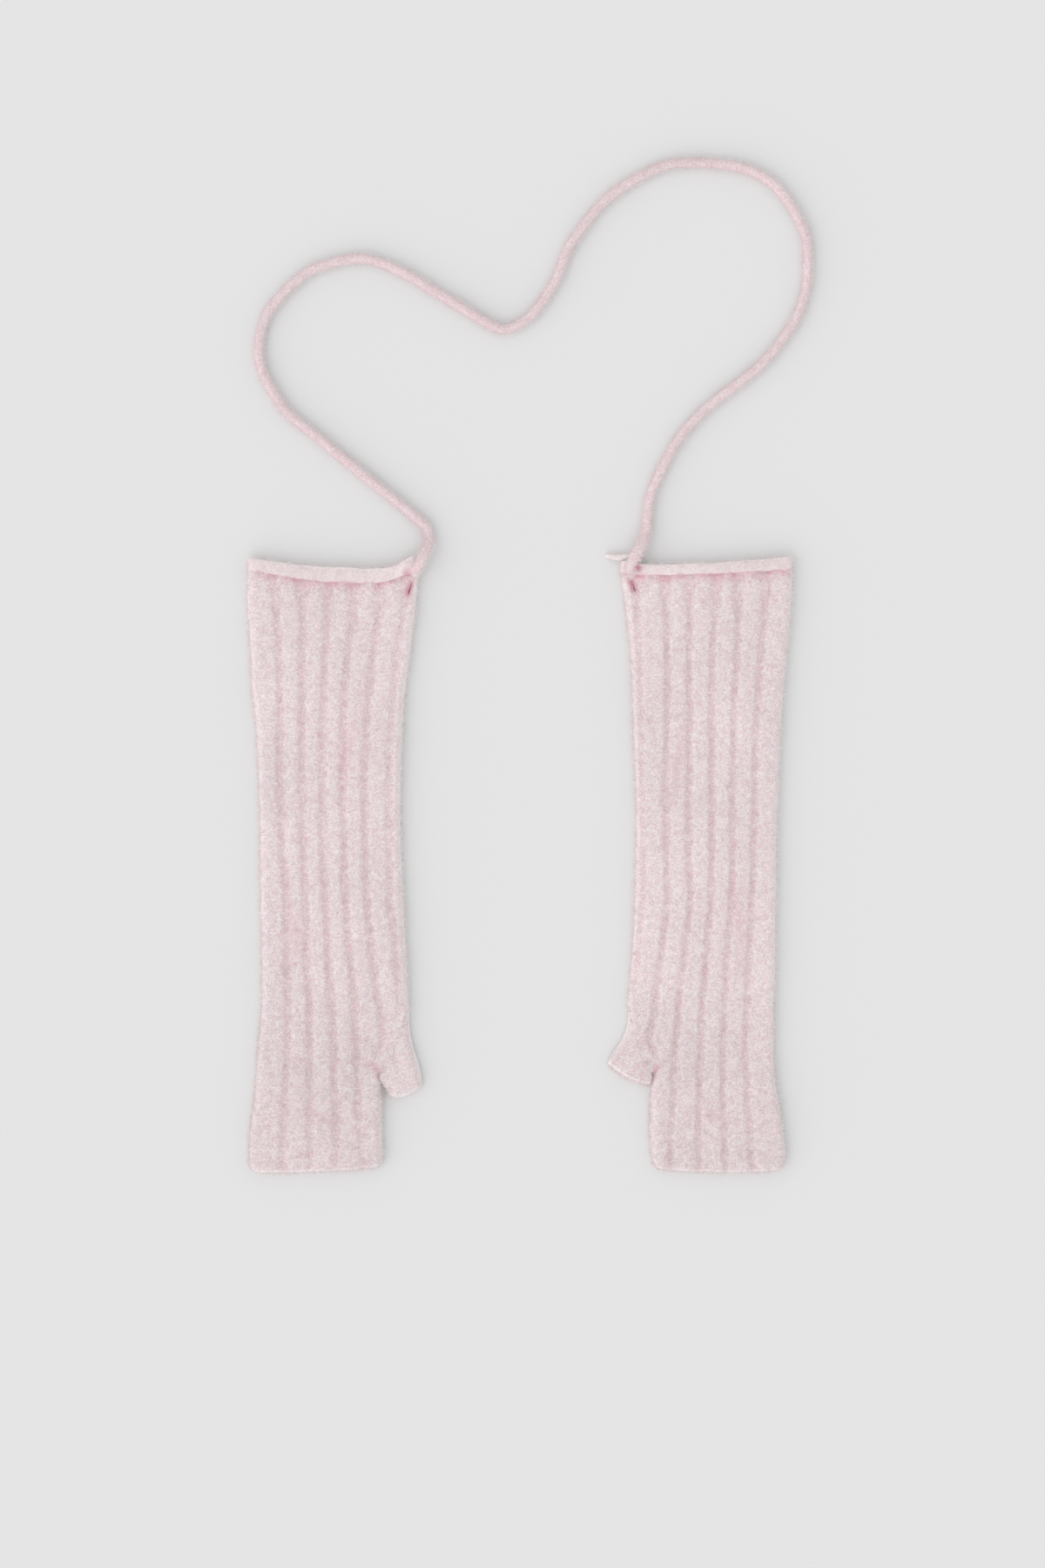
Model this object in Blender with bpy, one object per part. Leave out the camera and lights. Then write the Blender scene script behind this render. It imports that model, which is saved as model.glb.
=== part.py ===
"""A pair of long fingerless mittens in thick brushed rib, laid flat, with the knitted cord that joins them.

Metres, +Z up. The mittens lie on the plane z = 0, arm ends towards +Y and thumbs towards each other.
The origin lies midway between the two mittens, under the middle of their length.
"""

import math

import bmesh
import bpy
from mathutils import Vector

# Knitted wall: both layers of a mitten lie on each other
BACK_WALL = 0.0030
FRONT_WALL = 0.0030
LAYER_GAP = 0.0004
RIB_RISE = 0.0014
GROOVE_TOP = BACK_WALL + LAYER_GAP + FRONT_WALL
MIDDLE = BACK_WALL + LAYER_GAP / 2
SEAM = 0.0003
ROLL_SEAM = 0.0006

# Side folds: how far in from the edge each side has reached its full height
TOP_ROUNDING = 0.0070
UNDER_ROUNDING = 0.0036
HOLLOW_ROUNDING = 0.0020
BACK_SPANS = 10
EDGE_STEPS = (0.0009, 0.0027)
UNDER_STEPS = (0.0010, 0.0036)
INNER_EDGE_STEPS = (0.49, 0.16)      # shares of the last rib's width

# Ribs: each groove's line is in its mitten's table, counted from the outer side fold
FLANK = 0.17             # share of a rib's width from the groove's bottom to its flank
FLANK_DROP = 0.3         # share of the rib's rise lost at its flank
FIFTH_GROOVE = (-0.122, -0.104)      # where the fifth groove ends above the hand, and where it is full
SIXTH_GROOVE = (-0.104, -0.065)
ROW_SPACING = 0.018      # longest stretch between two sections

# How far each end's own line bends the rows of knitting
ARM_LINE_FROM = 0.105
ARM_LINE_FULL = 0.172
FINGER_LINE_FROM = -0.150
FINGER_LINE_FULL = -0.182
RIM_STEP = 0.0012
RIM_THINNING = 0.0007

# Rolled edge round the arm end
ROLL_THICK = 0.0038
ROLL_HALF_HEIGHT = 0.0040
ROLL_SQUARENESS = 0.8
ROLL_ACROSS = 22
ROLL_SIDES = 10
ROLL_FOLD_STEPS = 3

# Cord
CORD_RADIUS = 0.0030
CORD_END_RADIUS = 0.0022
CORD_END_TAPER = 0.018
CORD_STEP = 0.0135
CORD_END_STEP = 0.0040
CORD_END_REACH = 0.036
CORD_BEVEL_STEPS = 2
ROUTE_STEPS = 24

# Cutters: how far the thumb opening's cut runs past the thumb's root at each end, and their reach
CUT_BEYOND = 0.0006
CUT_REACH = 0.020
CUT_LOW = -0.005
CUT_HIGH = 0.015

# Eyelet
EYELET_HALF_LENGTH = 0.0064
EYELET_HALF_WIDTH = 0.0029
EYELET_CORNERS = 16

# Thumb sections: share of the width with the rib's height share there, then the shares of the back
THUMB_COLUMNS = [(0.0, 0.0), (0.03, 1.0), (0.11, 1.0), (0.25, 0.9), (0.38, 0.6), (0.46, 0.1),
                 (0.54, 0.6), (0.70, 0.9), (0.87, 1.0), (0.96, 1.0), (1.0, 0.0)]
THUMB_BACKS = [0.95, 0.80, 0.50, 0.20, 0.05]

SMOOTH_ANGLE = math.radians(50)
KNIT_COLOUR = (0.75, 0.62, 0.64, 1.0)
KNIT_ROUGHNESS = 0.95

# Each row of an outline is a section: height along Y, then the distance of the outer and inner edge
# from the middle of the pair. A row of grooves gives the same distance for each groove, outer one first.
# An end line is (share of the width from the outer edge, Y). A thumb row is a section from its outer
# edge point to its inner edge point, with how far its middle is pushed out towards the tip.
MITTENS = {
    "left": {
        "side": -1,
        "outline": [
            (-0.1820, 0.1600, 0.0815),
            (-0.1740, 0.1605, 0.0815),
            (-0.1585, 0.1600, 0.0820),
            (-0.1430, 0.1580, 0.0820),
            (-0.1325, 0.1570, 0.0820),
            (-0.1235, 0.1565, 0.0820),
            (-0.1180, 0.1560, 0.0765),
            (-0.1095, 0.1555, 0.0695),
            (-0.0965, 0.1540, 0.0670),
            (-0.0810, 0.1530, 0.0665),
            (-0.0655, 0.1530, 0.0670),
            (-0.0345, 0.1535, 0.0685),
            (0.0275, 0.1545, 0.0710),
            (0.0740, 0.1560, 0.0700),
            (0.1045, 0.1590, 0.0680),
            (0.1280, 0.1600, 0.0650),
            (0.1510, 0.1615, 0.0620),
            (0.1745, 0.1615, 0.0600),
        ],
        "grooves": [
            (-0.1820, 0.1405, 0.1240, 0.1088, 0.0932, 0.0893, 0.0854),
            (-0.1560, 0.1400, 0.1242, 0.1090, 0.0945, 0.0902, 0.0860),
            (-0.1300, 0.1386, 0.1243, 0.1100, 0.0961, 0.0912, 0.0864),
            (-0.1170, 0.1380, 0.1244, 0.1103, 0.0967, 0.0868, 0.0815),
            (-0.1040, 0.1378, 0.1247, 0.1104, 0.0969, 0.0818, 0.0742),
            (-0.0780, 0.1378, 0.1250, 0.1121, 0.0981, 0.0838, 0.0716),
            (-0.0520, 0.1381, 0.1263, 0.1139, 0.1008, 0.0876, 0.0738),
            (-0.0200, 0.1383, 0.1270, 0.1155, 0.1036, 0.0907, 0.0766),
            (0.0120, 0.1404, 0.1283, 0.1163, 0.1040, 0.0917, 0.0774),
            (0.0500, 0.1419, 0.1293, 0.1172, 0.1051, 0.0921, 0.0775),
            (0.0890, 0.1422, 0.1290, 0.1166, 0.1043, 0.0904, 0.0760),
            (0.1280, 0.1430, 0.1285, 0.1147, 0.1014, 0.0863, 0.0720),
            (0.1540, 0.1447, 0.1291, 0.1137, 0.0985, 0.0833, 0.0680),
            (0.1745, 0.1458, 0.1294, 0.1133, 0.0972, 0.0818, 0.0662),
        ],
        "arm_line": [(0.0, 0.1783), (0.18, 0.1754), (0.31, 0.1736), (0.63, 0.1718),
                     (0.78, 0.1717), (0.90, 0.1741), (1.0, 0.1778)],
        "finger_line": [(0.0, -0.1780), (0.06, -0.1818), (0.3, -0.1820), (0.7, -0.1808),
                        (0.94, -0.1784), (1.0, -0.1755)],
        "thumb": [
            (0.0660, -0.0829, 0.0810, -0.1221, 0.0),
            (0.0656, -0.0915, 0.0805, -0.1243, 0.0004),
            (0.0647, -0.1016, 0.0804, -0.1264, 0.0010),
            (0.0627, -0.1098, 0.0806, -0.1285, 0.0018),
            (0.0603, -0.1172, 0.0802, -0.1308, 0.0026),
            (0.0585, -0.1248, 0.0795, -0.1334, 0.0034),
            (0.0580, -0.1310, 0.0785, -0.1360, 0.0040),
        ],
        "eyelet": (0.0655, 0.1660, -0.30),
    },
    "right": {
        "side": 1,
        "outline": [
            (-0.1820, 0.1570, 0.0790),
            (-0.1740, 0.1575, 0.0780),
            (-0.1585, 0.1560, 0.0770),
            (-0.1430, 0.1540, 0.0775),
            (-0.1325, 0.1520, 0.0778),
            (-0.1235, 0.1510, 0.0780),
            (-0.1180, 0.1505, 0.0720),
            (-0.1095, 0.1505, 0.0665),
            (-0.0965, 0.1505, 0.0640),
            (-0.0810, 0.1505, 0.0640),
            (-0.0655, 0.1510, 0.0655),
            (-0.0345, 0.1515, 0.0675),
            (0.0275, 0.1525, 0.0690),
            (0.0740, 0.1545, 0.0675),
            (0.1045, 0.1565, 0.0665),
            (0.1280, 0.1585, 0.0653),
            (0.1510, 0.1608, 0.0625),
            (0.1745, 0.1615, 0.0595),
        ],
        "grooves": [
            (-0.1820, 0.1380, 0.1215, 0.1057, 0.0890, 0.0856, 0.0822),
            (-0.1560, 0.1360, 0.1208, 0.1056, 0.0893, 0.0856, 0.0818),
            (-0.1300, 0.1345, 0.1203, 0.1060, 0.0910, 0.0865, 0.0822),
            (-0.1170, 0.1338, 0.1204, 0.1065, 0.0915, 0.0822, 0.0768),
            (-0.1040, 0.1336, 0.1205, 0.1071, 0.0922, 0.0774, 0.0712),
            (-0.0780, 0.1348, 0.1215, 0.1083, 0.0946, 0.0805, 0.0684),
            (-0.0520, 0.1358, 0.1228, 0.1104, 0.0976, 0.0842, 0.0696),
            (-0.0200, 0.1372, 0.1252, 0.1130, 0.1006, 0.0872, 0.0726),
            (0.0120, 0.1387, 0.1262, 0.1135, 0.1002, 0.0867, 0.0726),
            (0.0500, 0.1393, 0.1264, 0.1136, 0.1003, 0.0866, 0.0722),
            (0.0890, 0.1401, 0.1269, 0.1139, 0.1005, 0.0869, 0.0712),
            (0.1280, 0.1427, 0.1286, 0.1141, 0.1004, 0.0873, 0.0706),
            (0.1540, 0.1451, 0.1292, 0.1155, 0.1005, 0.0866, 0.0695),
            (0.1745, 0.1462, 0.1296, 0.1160, 0.1006, 0.0862, 0.0688),
        ],
        "arm_line": [(0.0, 0.1787), (0.25, 0.1772), (0.49, 0.1761), (0.85, 0.1754),
                     (0.92, 0.1758), (1.0, 0.1766)],
        "finger_line": [(0.0, -0.1760), (0.06, -0.1805), (0.3, -0.1818), (0.7, -0.1815),
                        (0.93, -0.1795), (1.0, -0.1765)],
        "thumb": [
            (0.0641, -0.0827, 0.0771, -0.1223, 0.0),
            (0.0641, -0.0903, 0.0766, -0.1240, 0.0006),
            (0.0628, -0.0975, 0.0768, -0.1253, 0.0014),
            (0.0601, -0.1037, 0.0768, -0.1264, 0.0024),
            (0.0565, -0.1093, 0.0768, -0.1274, 0.0034),
            (0.0534, -0.1140, 0.0767, -0.1284, 0.0043),
            (0.0520, -0.1178, 0.0765, -0.1292, 0.0050),
        ],
        "eyelet": (0.0668, 0.1662, -0.30),
    },
}

# The cord's middle line from the left eyelet over the rolled edge, round on the floor and back
CORD_ROUTE = [
    (-0.0653, 0.1664, 0.0058), (-0.0637, 0.1704, 0.0094), (-0.0616, 0.1743, 0.0112),
    (-0.0593, 0.1782, 0.0114), (-0.0573, 0.1823, 0.0101), (-0.0552, 0.1867, 0.0069),
    (-0.0538, 0.1920, 0.0038), (-0.0552, 0.1995, 0.0031), (-0.0630, 0.2070, 0.0031),
    (-0.0845, 0.2245, 0.0031), (-0.1205, 0.2540, 0.0031), (-0.1400, 0.2705, 0.0031),
    (-0.1535, 0.2950, 0.0031), (-0.1540, 0.3140, 0.0031), (-0.1470, 0.3310, 0.0031),
    (-0.1255, 0.3515, 0.0031), (-0.0965, 0.3595, 0.0031), (-0.0730, 0.3530, 0.0031),
    (-0.0330, 0.3295, 0.0031), (-0.0105, 0.3175, 0.0031),
    (0.0065, 0.3255, 0.0031), (0.0210, 0.3460, 0.0031), (0.0305, 0.3685, 0.0031),
    (0.0530, 0.3960, 0.0031), (0.0880, 0.4150, 0.0031), (0.1295, 0.4140, 0.0031),
    (0.1530, 0.4010, 0.0031), (0.1690, 0.3740, 0.0031), (0.1700, 0.3450, 0.0031),
    (0.1630, 0.3225, 0.0031), (0.1430, 0.2965, 0.0031), (0.1110, 0.2710, 0.0031),
    (0.0920, 0.2495, 0.0031), (0.0775, 0.2190, 0.0031), (0.0748, 0.1975, 0.0037),
    (0.0712, 0.1880, 0.0084), (0.0658, 0.1780, 0.0114),
    (0.0652, 0.1733, 0.0108), (0.0659, 0.1693, 0.0082), (0.0669, 0.1663, 0.0056),
]

# The free end beside the right mitten: point of its middle line, then its radius
TAIL_ROUTE = [
    (0.0728, 0.1836, 0.0022, 0.0019), (0.0680, 0.1831, 0.0021, 0.0019), (0.0630, 0.1825, 0.0021, 0.0019),
    (0.0585, 0.1823, 0.0020, 0.0017), (0.0545, 0.1827, 0.0017, 0.0013), (0.0508, 0.1835, 0.0013, 0.0008),
]


def clear_objects():
    for old in list(bpy.data.objects):
        bpy.data.objects.remove(old, do_unlink=True)


def knit_material(name):
    material = bpy.data.materials.new(name)
    material.use_nodes = True
    shader = material.node_tree.nodes["Principled BSDF"]
    shader.inputs["Base Color"].default_value = KNIT_COLOUR
    shader.inputs["Roughness"].default_value = KNIT_ROUGHNESS
    shader.inputs["Metallic"].default_value = 0.0
    material.diffuse_color = KNIT_COLOUR
    return material


def follow(rows, at):
    """Reads a table as smooth curves: returns the columns after the first, at a value of the first."""
    at = min(max(at, rows[0][0]), rows[-1][0])
    i = max(k for k in range(len(rows) - 1) if rows[k][0] <= at)
    low = rows[i]
    high = rows[i + 1]
    before = rows[max(i - 1, 0)]
    after = rows[min(i + 2, len(rows) - 1)]
    span = high[0] - low[0]
    t = (at - low[0]) / span
    values = []
    for c in range(1, len(low)):
        leave = span * (high[c] - before[c]) / (high[0] - before[0])
        arrive = span * (after[c] - low[c]) / (after[0] - low[0])
        values.append(
            low[c] * (2 * t**3 - 3 * t**2 + 1) + leave * (t**3 - 2 * t**2 + t)
            + high[c] * (3 * t**2 - 2 * t**3) + arrive * (t**3 - t**2)
        )
    return values


def smooth_step(value, start, full):
    t = min(max((value - start) / (full - start), 0.0), 1.0)
    return t * t * (3 - 2 * t)


def crown(inset, reach):
    """Height share of a rounded side fold: 0 at the edge and 1 from the given reach inwards."""
    t = min(max(inset / reach, 0.0), 1.0)
    return math.sqrt(1 - (1 - t) ** 2)


def end_shift(mitten, y, share):
    """How far the lines of the arm end and the finger end move a point of the row at y."""
    arm = smooth_step(y, ARM_LINE_FROM, ARM_LINE_FULL)
    body_end = follow(mitten["arm_line"], share)[0] - ROLL_HALF_HEIGHT - ROLL_SEAM
    finger = smooth_step(y, FINGER_LINE_FROM, FINGER_LINE_FULL)
    finger_end = follow(mitten["finger_line"], share)[0]
    return arm * (body_end - ARM_LINE_FULL) + finger * (finger_end - FINGER_LINE_FULL)


def groove_depths(y):
    """Depth share of each groove at a row: the last two end where the thumb's root begins."""
    return [1.0, 1.0, 1.0, 1.0, smooth_step(y, *FIFTH_GROOVE), smooth_step(y, *SIXTH_GROOVE)]


def rib_columns(grooves, depths, width):
    """Places across the front of a section, from the outer edge, with the height share of the rib there."""
    spans = [after - before for before, after in zip(grooves, grooves[1:])]
    last = width - grooves[-1]
    columns = [(0.0, 0.0)] + [(step, 1.0) for step in EDGE_STEPS] + [(grooves[0] - spans[0] / 2, 1.0)]
    for k, (groove, depth) in enumerate(zip(grooves, depths)):
        before = spans[max(k - 1, 0)]
        columns.append((groove - FLANK * before, 1 - FLANK_DROP * depth))
        columns.append((groove, 1 - depth))
        if k < len(spans):
            columns.append((groove + FLANK * spans[k], 1 - FLANK_DROP * depth))
            columns.append((groove + spans[k] / 2, 1.0))
    columns += [(width - step * last, 1.0) for step in INNER_EDGE_STEPS]
    columns.append((width, 0.0))
    return columns


def back_columns(width):
    """Places across the back of a section, from the inner edge to the outer one."""
    middle = [width * (1 - k / BACK_SPANS) for k in range(1, BACK_SPANS)]
    return [width - inset for inset in UNDER_STEPS] + middle + list(reversed(UNDER_STEPS))


def section(columns, backs, width, thinning=0.0):
    """Outer and inner ring of a flattened tube as (place across, height), one inner for two outer points."""
    outer = []
    for place, rib in columns:
        inset = min(place, width - place)
        rise = (GROOVE_TOP - MIDDLE + rib * RIB_RISE - thinning) * crown(inset, TOP_ROUNDING)
        outer.append((place, MIDDLE + rise))
    for place in backs:
        inset = min(place, width - place)
        outer.append((place, MIDDLE - MIDDLE * crown(inset, UNDER_ROUNDING)))
    inner = []
    for i in range(0, len(outer), 2):
        place = BACK_WALL + outer[i][0] * (width - 2 * BACK_WALL) / width
        inset = min(place, width - place) - BACK_WALL
        side = 1 if i < len(columns) else -1
        inner.append((place, MIDDLE + side * LAYER_GAP / 2 * crown(inset, HOLLOW_ROUNDING)))
    return outer, inner


def skin(bm, rings):
    """Wraps a grid round a list of rings with equal point counts and closes it along the seam."""
    along = len(rings) - 1
    around = len(rings[0])
    grid = bmesh.ops.create_grid(bm, x_segments=along, y_segments=around, size=1.0)["verts"]
    ends = ([None] * around, [None] * around)
    places = {}
    for vert in grid:
        i = round((vert.co.x + 1) / 2 * along)
        j = round((vert.co.y + 1) / 2 * around)
        places[vert] = (i, j)
        vert.co = rings[i][j % around]
        if j < around and i in (0, along):
            ends[0 if i == 0 else 1][j] = vert
    start = {i: vert for vert, (i, j) in places.items() if j == 0}
    bmesh.ops.weld_verts(bm, targetmap={vert: start[i] for vert, (i, j) in places.items() if j == around})
    return ends


def close_rim(bm, outer, inner):
    """Joins an outer ring to an inner ring that has half as many points."""
    count = len(outer)
    for k, corner in enumerate(inner):
        a = outer[2 * k]
        b = outer[2 * k + 1]
        c = outer[(2 * k + 2) % count]
        bm.faces.new((a, b, corner))
        bm.faces.new((b, c, inner[(k + 1) % len(inner)], corner))


def finish(bm, name, material):
    bmesh.ops.recalc_face_normals(bm, faces=bm.faces)
    mesh = bpy.data.meshes.new(name)
    bm.to_mesh(mesh)
    bm.free()
    made = bpy.data.objects.new(name, mesh)
    bpy.context.collection.objects.link(made)
    mesh.shade_smooth()
    mesh.set_sharp_from_angle(angle=SMOOTH_ANGLE)
    mesh.materials.append(material)
    return made


def tube_from_sections(name, pairs, material):
    """Builds one closed wall from (outer ring, inner ring) pairs in order along the tube."""
    bm = bmesh.new()
    outside = skin(bm, [pair[0] for pair in pairs])
    inside = skin(bm, [pair[1] for pair in pairs])
    for end in (0, 1):
        close_rim(bm, outside[end], inside[end])
    return finish(bm, name, material)


def section_heights(mitten):
    """Rows of the tube from the finger edge to the arm end, with one more in each long stretch."""
    rows = [row[0] for row in mitten["outline"]]
    heights = [FINGER_LINE_FULL, FINGER_LINE_FULL + RIM_STEP]
    for low, high in zip(rows[1:-1], rows[2:]):
        heights.append(low)
        pieces = max(1, round((high - low) / ROW_SPACING))
        heights += [low + (high - low) * k / pieces for k in range(1, pieces)]
    heights.append(ARM_LINE_FULL)
    return [y for y in heights if y <= ARM_LINE_FULL]


def ring_points(mitten, ring, y, outer_edge, width):
    side = mitten["side"]
    points = []
    for place, height in ring:
        shift = end_shift(mitten, y, place / width)
        points.append(Vector((side * (outer_edge - place), y + shift, height)))
    return points


def make_body(key, mitten, material):
    pairs = []
    for y in section_heights(mitten):
        outer_edge, inner_edge = follow(mitten["outline"], y)
        grooves = follow(mitten["grooves"], y)
        thinning = 0.0
        if y == FINGER_LINE_FULL:
            outer_edge -= RIM_THINNING
            inner_edge += RIM_THINNING
            thinning = RIM_THINNING
        width = outer_edge - inner_edge
        columns = rib_columns([outer_edge - x for x in grooves], groove_depths(y), width)
        outer, inner = section(columns, back_columns(width), width, thinning)
        pairs.append((
            ring_points(mitten, outer, y, outer_edge, width),
            ring_points(mitten, inner, y, outer_edge, width),
        ))
    body = tube_from_sections("mitten_" + key, pairs, material)
    cut(body, thumb_cutter(key, mitten))
    cut(body, eyelet_cutter(key, mitten))
    return body


def cut(body, cutter):
    cutter.hide_render = True
    cutter.display_type = "WIRE"
    boolean = body.modifiers.new(cutter.name, "BOOLEAN")
    boolean.operation = "DIFFERENCE"
    boolean.solver = "EXACT"
    boolean.object = cutter


def prism(name, outline, low, high):
    """A closed block over a flat outline, between two heights."""
    bm = bmesh.new()
    base = bm.faces.new([bm.verts.new((x, y, low)) for x, y in outline])
    grown = bmesh.ops.extrude_face_region(bm, geom=[base])["geom"]
    lifted = [item for item in grown if isinstance(item, bmesh.types.BMVert)]
    bmesh.ops.translate(bm, verts=lifted, vec=(0, 0, high - low))
    bmesh.ops.recalc_face_normals(bm, faces=bm.faces)
    mesh = bpy.data.meshes.new(name)
    bm.to_mesh(mesh)
    bm.free()
    made = bpy.data.objects.new(name, mesh)
    bpy.context.collection.objects.link(made)
    return made


def thumb_cutter(key, mitten):
    """Trims the side fold along the thumb's root, which leaves the tube open there."""
    root = mitten["thumb"][0]
    start = Vector((root[0], root[1]))
    end = Vector((root[2], root[3]))
    out = Vector((-(start - end).y, (start - end).x)).normalized()
    if out.x > 0:
        out = -out
    beyond = (start - end).normalized() * CUT_BEYOND
    start += beyond
    end -= beyond
    corners = [start - out * SEAM, end - out * SEAM, end + out * CUT_REACH, start + out * CUT_REACH]
    outline = [(mitten["side"] * corner.x, corner.y) for corner in corners]
    return prism("thumb_opening_" + key, outline, CUT_LOW, CUT_HIGH)


def eyelet_cutter(key, mitten):
    """The eyelet goes through the front layer only."""
    across, along, tilt = mitten["eyelet"]
    outline = []
    for k in range(EYELET_CORNERS):
        turn = 2 * math.pi * k / EYELET_CORNERS
        u = EYELET_HALF_WIDTH * math.cos(turn)
        v = EYELET_HALF_LENGTH * math.sin(turn)
        x = across + u * math.cos(tilt) + v * math.sin(tilt)
        y = along - u * math.sin(tilt) + v * math.cos(tilt)
        outline.append((mitten["side"] * x, y))
    return prism("eyelet_" + key, outline, MIDDLE, CUT_HIGH)


def make_thumb(key, mitten, material):
    """A short flattened tube whose sections fan from the root in the side fold to the open tip."""
    rows = mitten["thumb"]
    pairs = []
    for number, (ax, ay, bx, by, bow) in enumerate(rows):
        start = Vector((mitten["side"] * ax, ay, 0))
        end = Vector((mitten["side"] * bx, by, 0))
        width = (end - start).length
        push = Vector((mitten["side"] * (start - end).y, -abs((start - end).x), 0)).normalized()
        columns = [(share * width, rib) for share, rib in THUMB_COLUMNS]
        backs = [share * width for share in THUMB_BACKS]
        thinning = RIM_THINNING if number == len(rows) - 1 else 0.0
        rings = []
        for ring in section(columns, backs, width, thinning):
            points = []
            for place, height in ring:
                share = place / width
                point = start.lerp(end, share) + push * (4 * bow * share * (1 - share))
                points.append(point + Vector((0, 0, height)))
            rings.append(points)
        pairs.append(rings)
    return tube_from_sections("thumb_" + key, pairs, material)


def roll_path(mitten):
    """Middle line of the rolled edge round the opening: rows of place across, height and normal."""
    outer_edge, inner_edge = follow(mitten["outline"], mitten["outline"][-1][0])
    width = outer_edge - inner_edge
    half = ROLL_THICK / 2
    turn_radius = (ROLL_THICK + LAYER_GAP) / 2
    near = half + turn_radius
    middle = near
    path = []
    span = width - 2 * near
    for k in range(ROLL_ACROSS + 1):
        path.append((near + span * k / ROLL_ACROSS, middle + turn_radius, (0.0, 1.0)))
    for k in range(1, ROLL_FOLD_STEPS + 1):
        turn = math.pi * k / (ROLL_FOLD_STEPS + 1)
        normal = (math.sin(turn), math.cos(turn))
        path.append((width - near + turn_radius * normal[0], middle + turn_radius * normal[1], normal))
    for k in range(ROLL_ACROSS + 1):
        path.append((width - near - span * k / ROLL_ACROSS, middle - turn_radius, (0.0, -1.0)))
    for k in range(1, ROLL_FOLD_STEPS + 1):
        turn = math.pi + math.pi * k / (ROLL_FOLD_STEPS + 1)
        normal = (math.sin(turn), math.cos(turn))
        path.append((near + turn_radius * normal[0], middle + turn_radius * normal[1], normal))
    return path, outer_edge, width


def make_rolled_edge(key, mitten, material):
    path, outer_edge, width = roll_path(mitten)
    rings = []
    for place, height, normal in path:
        line = follow(mitten["arm_line"], place / width)[0]
        ring = []
        for k in range(ROLL_SIDES):
            turn = 2 * math.pi * k / ROLL_SIDES
            out = math.copysign(abs(math.cos(turn)) ** ROLL_SQUARENESS, math.cos(turn)) * ROLL_THICK / 2
            along = math.copysign(abs(math.sin(turn)) ** ROLL_SQUARENESS, math.sin(turn)) * ROLL_HALF_HEIGHT
            x = mitten["side"] * (outer_edge - place - out * normal[0])
            ring.append(Vector((x, line + along, height + out * normal[1])))
        rings.append(ring)
    bm = bmesh.new()
    first, last = skin(bm, rings + [rings[0]])
    bmesh.ops.weld_verts(bm, targetmap=dict(zip(last, first)))
    return finish(bm, "rolled_edge_" + key, material)


def smooth_route(points, steps):
    """A dense smooth curve through all the points."""
    dense = []
    for i in range(len(points) - 1):
        p0 = points[max(i - 1, 0)]
        p1 = points[i]
        p2 = points[i + 1]
        p3 = points[min(i + 2, len(points) - 1)]
        for k in range(steps):
            t = k / steps
            dense.append(
                (2 * p1 + (p2 - p0) * t + (2 * p0 - 5 * p1 + 4 * p2 - p3) * t**2
                 + (3 * p1 - p0 - 3 * p2 + p3) * t**3) / 2
            )
    dense.append(points[-1])
    return dense


def read_route(dense, distances):
    """Points of a dense curve at the given distances from its start."""
    travelled = [0.0]
    for a, b in zip(dense, dense[1:]):
        travelled.append(travelled[-1] + (b - a).length)
    found = []
    i = 0
    for distance in distances:
        while i < len(dense) - 2 and travelled[i + 1] < distance:
            i += 1
        share = (distance - travelled[i]) / (travelled[i + 1] - travelled[i])
        found.append(dense[i].lerp(dense[i + 1], share))
    return found


def cord_distances(length):
    """Close steps over the rolled edges and wide ones on the floor."""
    ends = [CORD_END_STEP * k for k in range(round(CORD_END_REACH / CORD_END_STEP))]
    free = length - 2 * CORD_END_REACH
    count = round(free / CORD_STEP)
    middle = [CORD_END_REACH + free * k / count for k in range(count + 1)]
    return ends + middle + [length - d for d in reversed(ends)]


def make_strand(name, points, radii, material):
    curve = bpy.data.curves.new(name, "CURVE")
    curve.dimensions = "3D"
    curve.bevel_depth = CORD_RADIUS
    curve.bevel_resolution = CORD_BEVEL_STEPS
    curve.use_fill_caps = True
    spline = curve.splines.new("POLY")
    spline.points.add(len(points) - 1)
    for place, point, radius in zip(spline.points, points, radii):
        place.co = (*point, 1.0)
        place.radius = radius / CORD_RADIUS
    curve.materials.append(material)
    made = bpy.data.objects.new(name, curve)
    bpy.context.collection.objects.link(made)
    return made


def make_cord(material):
    dense = smooth_route([Vector(point) for point in CORD_ROUTE], ROUTE_STEPS)
    length = sum((b - a).length for a, b in zip(dense, dense[1:]))
    distances = cord_distances(length)
    radii = []
    for distance in distances:
        share = smooth_step(min(distance, length - distance), 0.0, CORD_END_TAPER)
        radii.append(CORD_END_RADIUS + (CORD_RADIUS - CORD_END_RADIUS) * share)
    return make_strand("cord", read_route(dense, distances), radii, material)


def make_tail(material):
    points = [Vector(row[:3]) for row in TAIL_ROUTE]
    return make_strand("cord_tail", points, [row[3] for row in TAIL_ROUTE], material)


clear_objects()
brushed_rib = knit_material("brushed_rib")
plain_roll = knit_material("plain_roll")
knitted_cord = knit_material("knitted_cord")
for key, mitten in MITTENS.items():
    make_body(key, mitten, brushed_rib)
    make_thumb(key, mitten, brushed_rib)
    make_rolled_edge(key, mitten, plain_roll)
make_cord(knitted_cord)
make_tail(knitted_cord)
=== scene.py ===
"""A pair of long fingerless mittens in thick brushed rib, laid flat, with the knitted cord that joins them.

Metres, +Z up. Arm ends towards +Y, thumbs towards each other, on the ground at z = 0.
"""

import math

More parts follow.
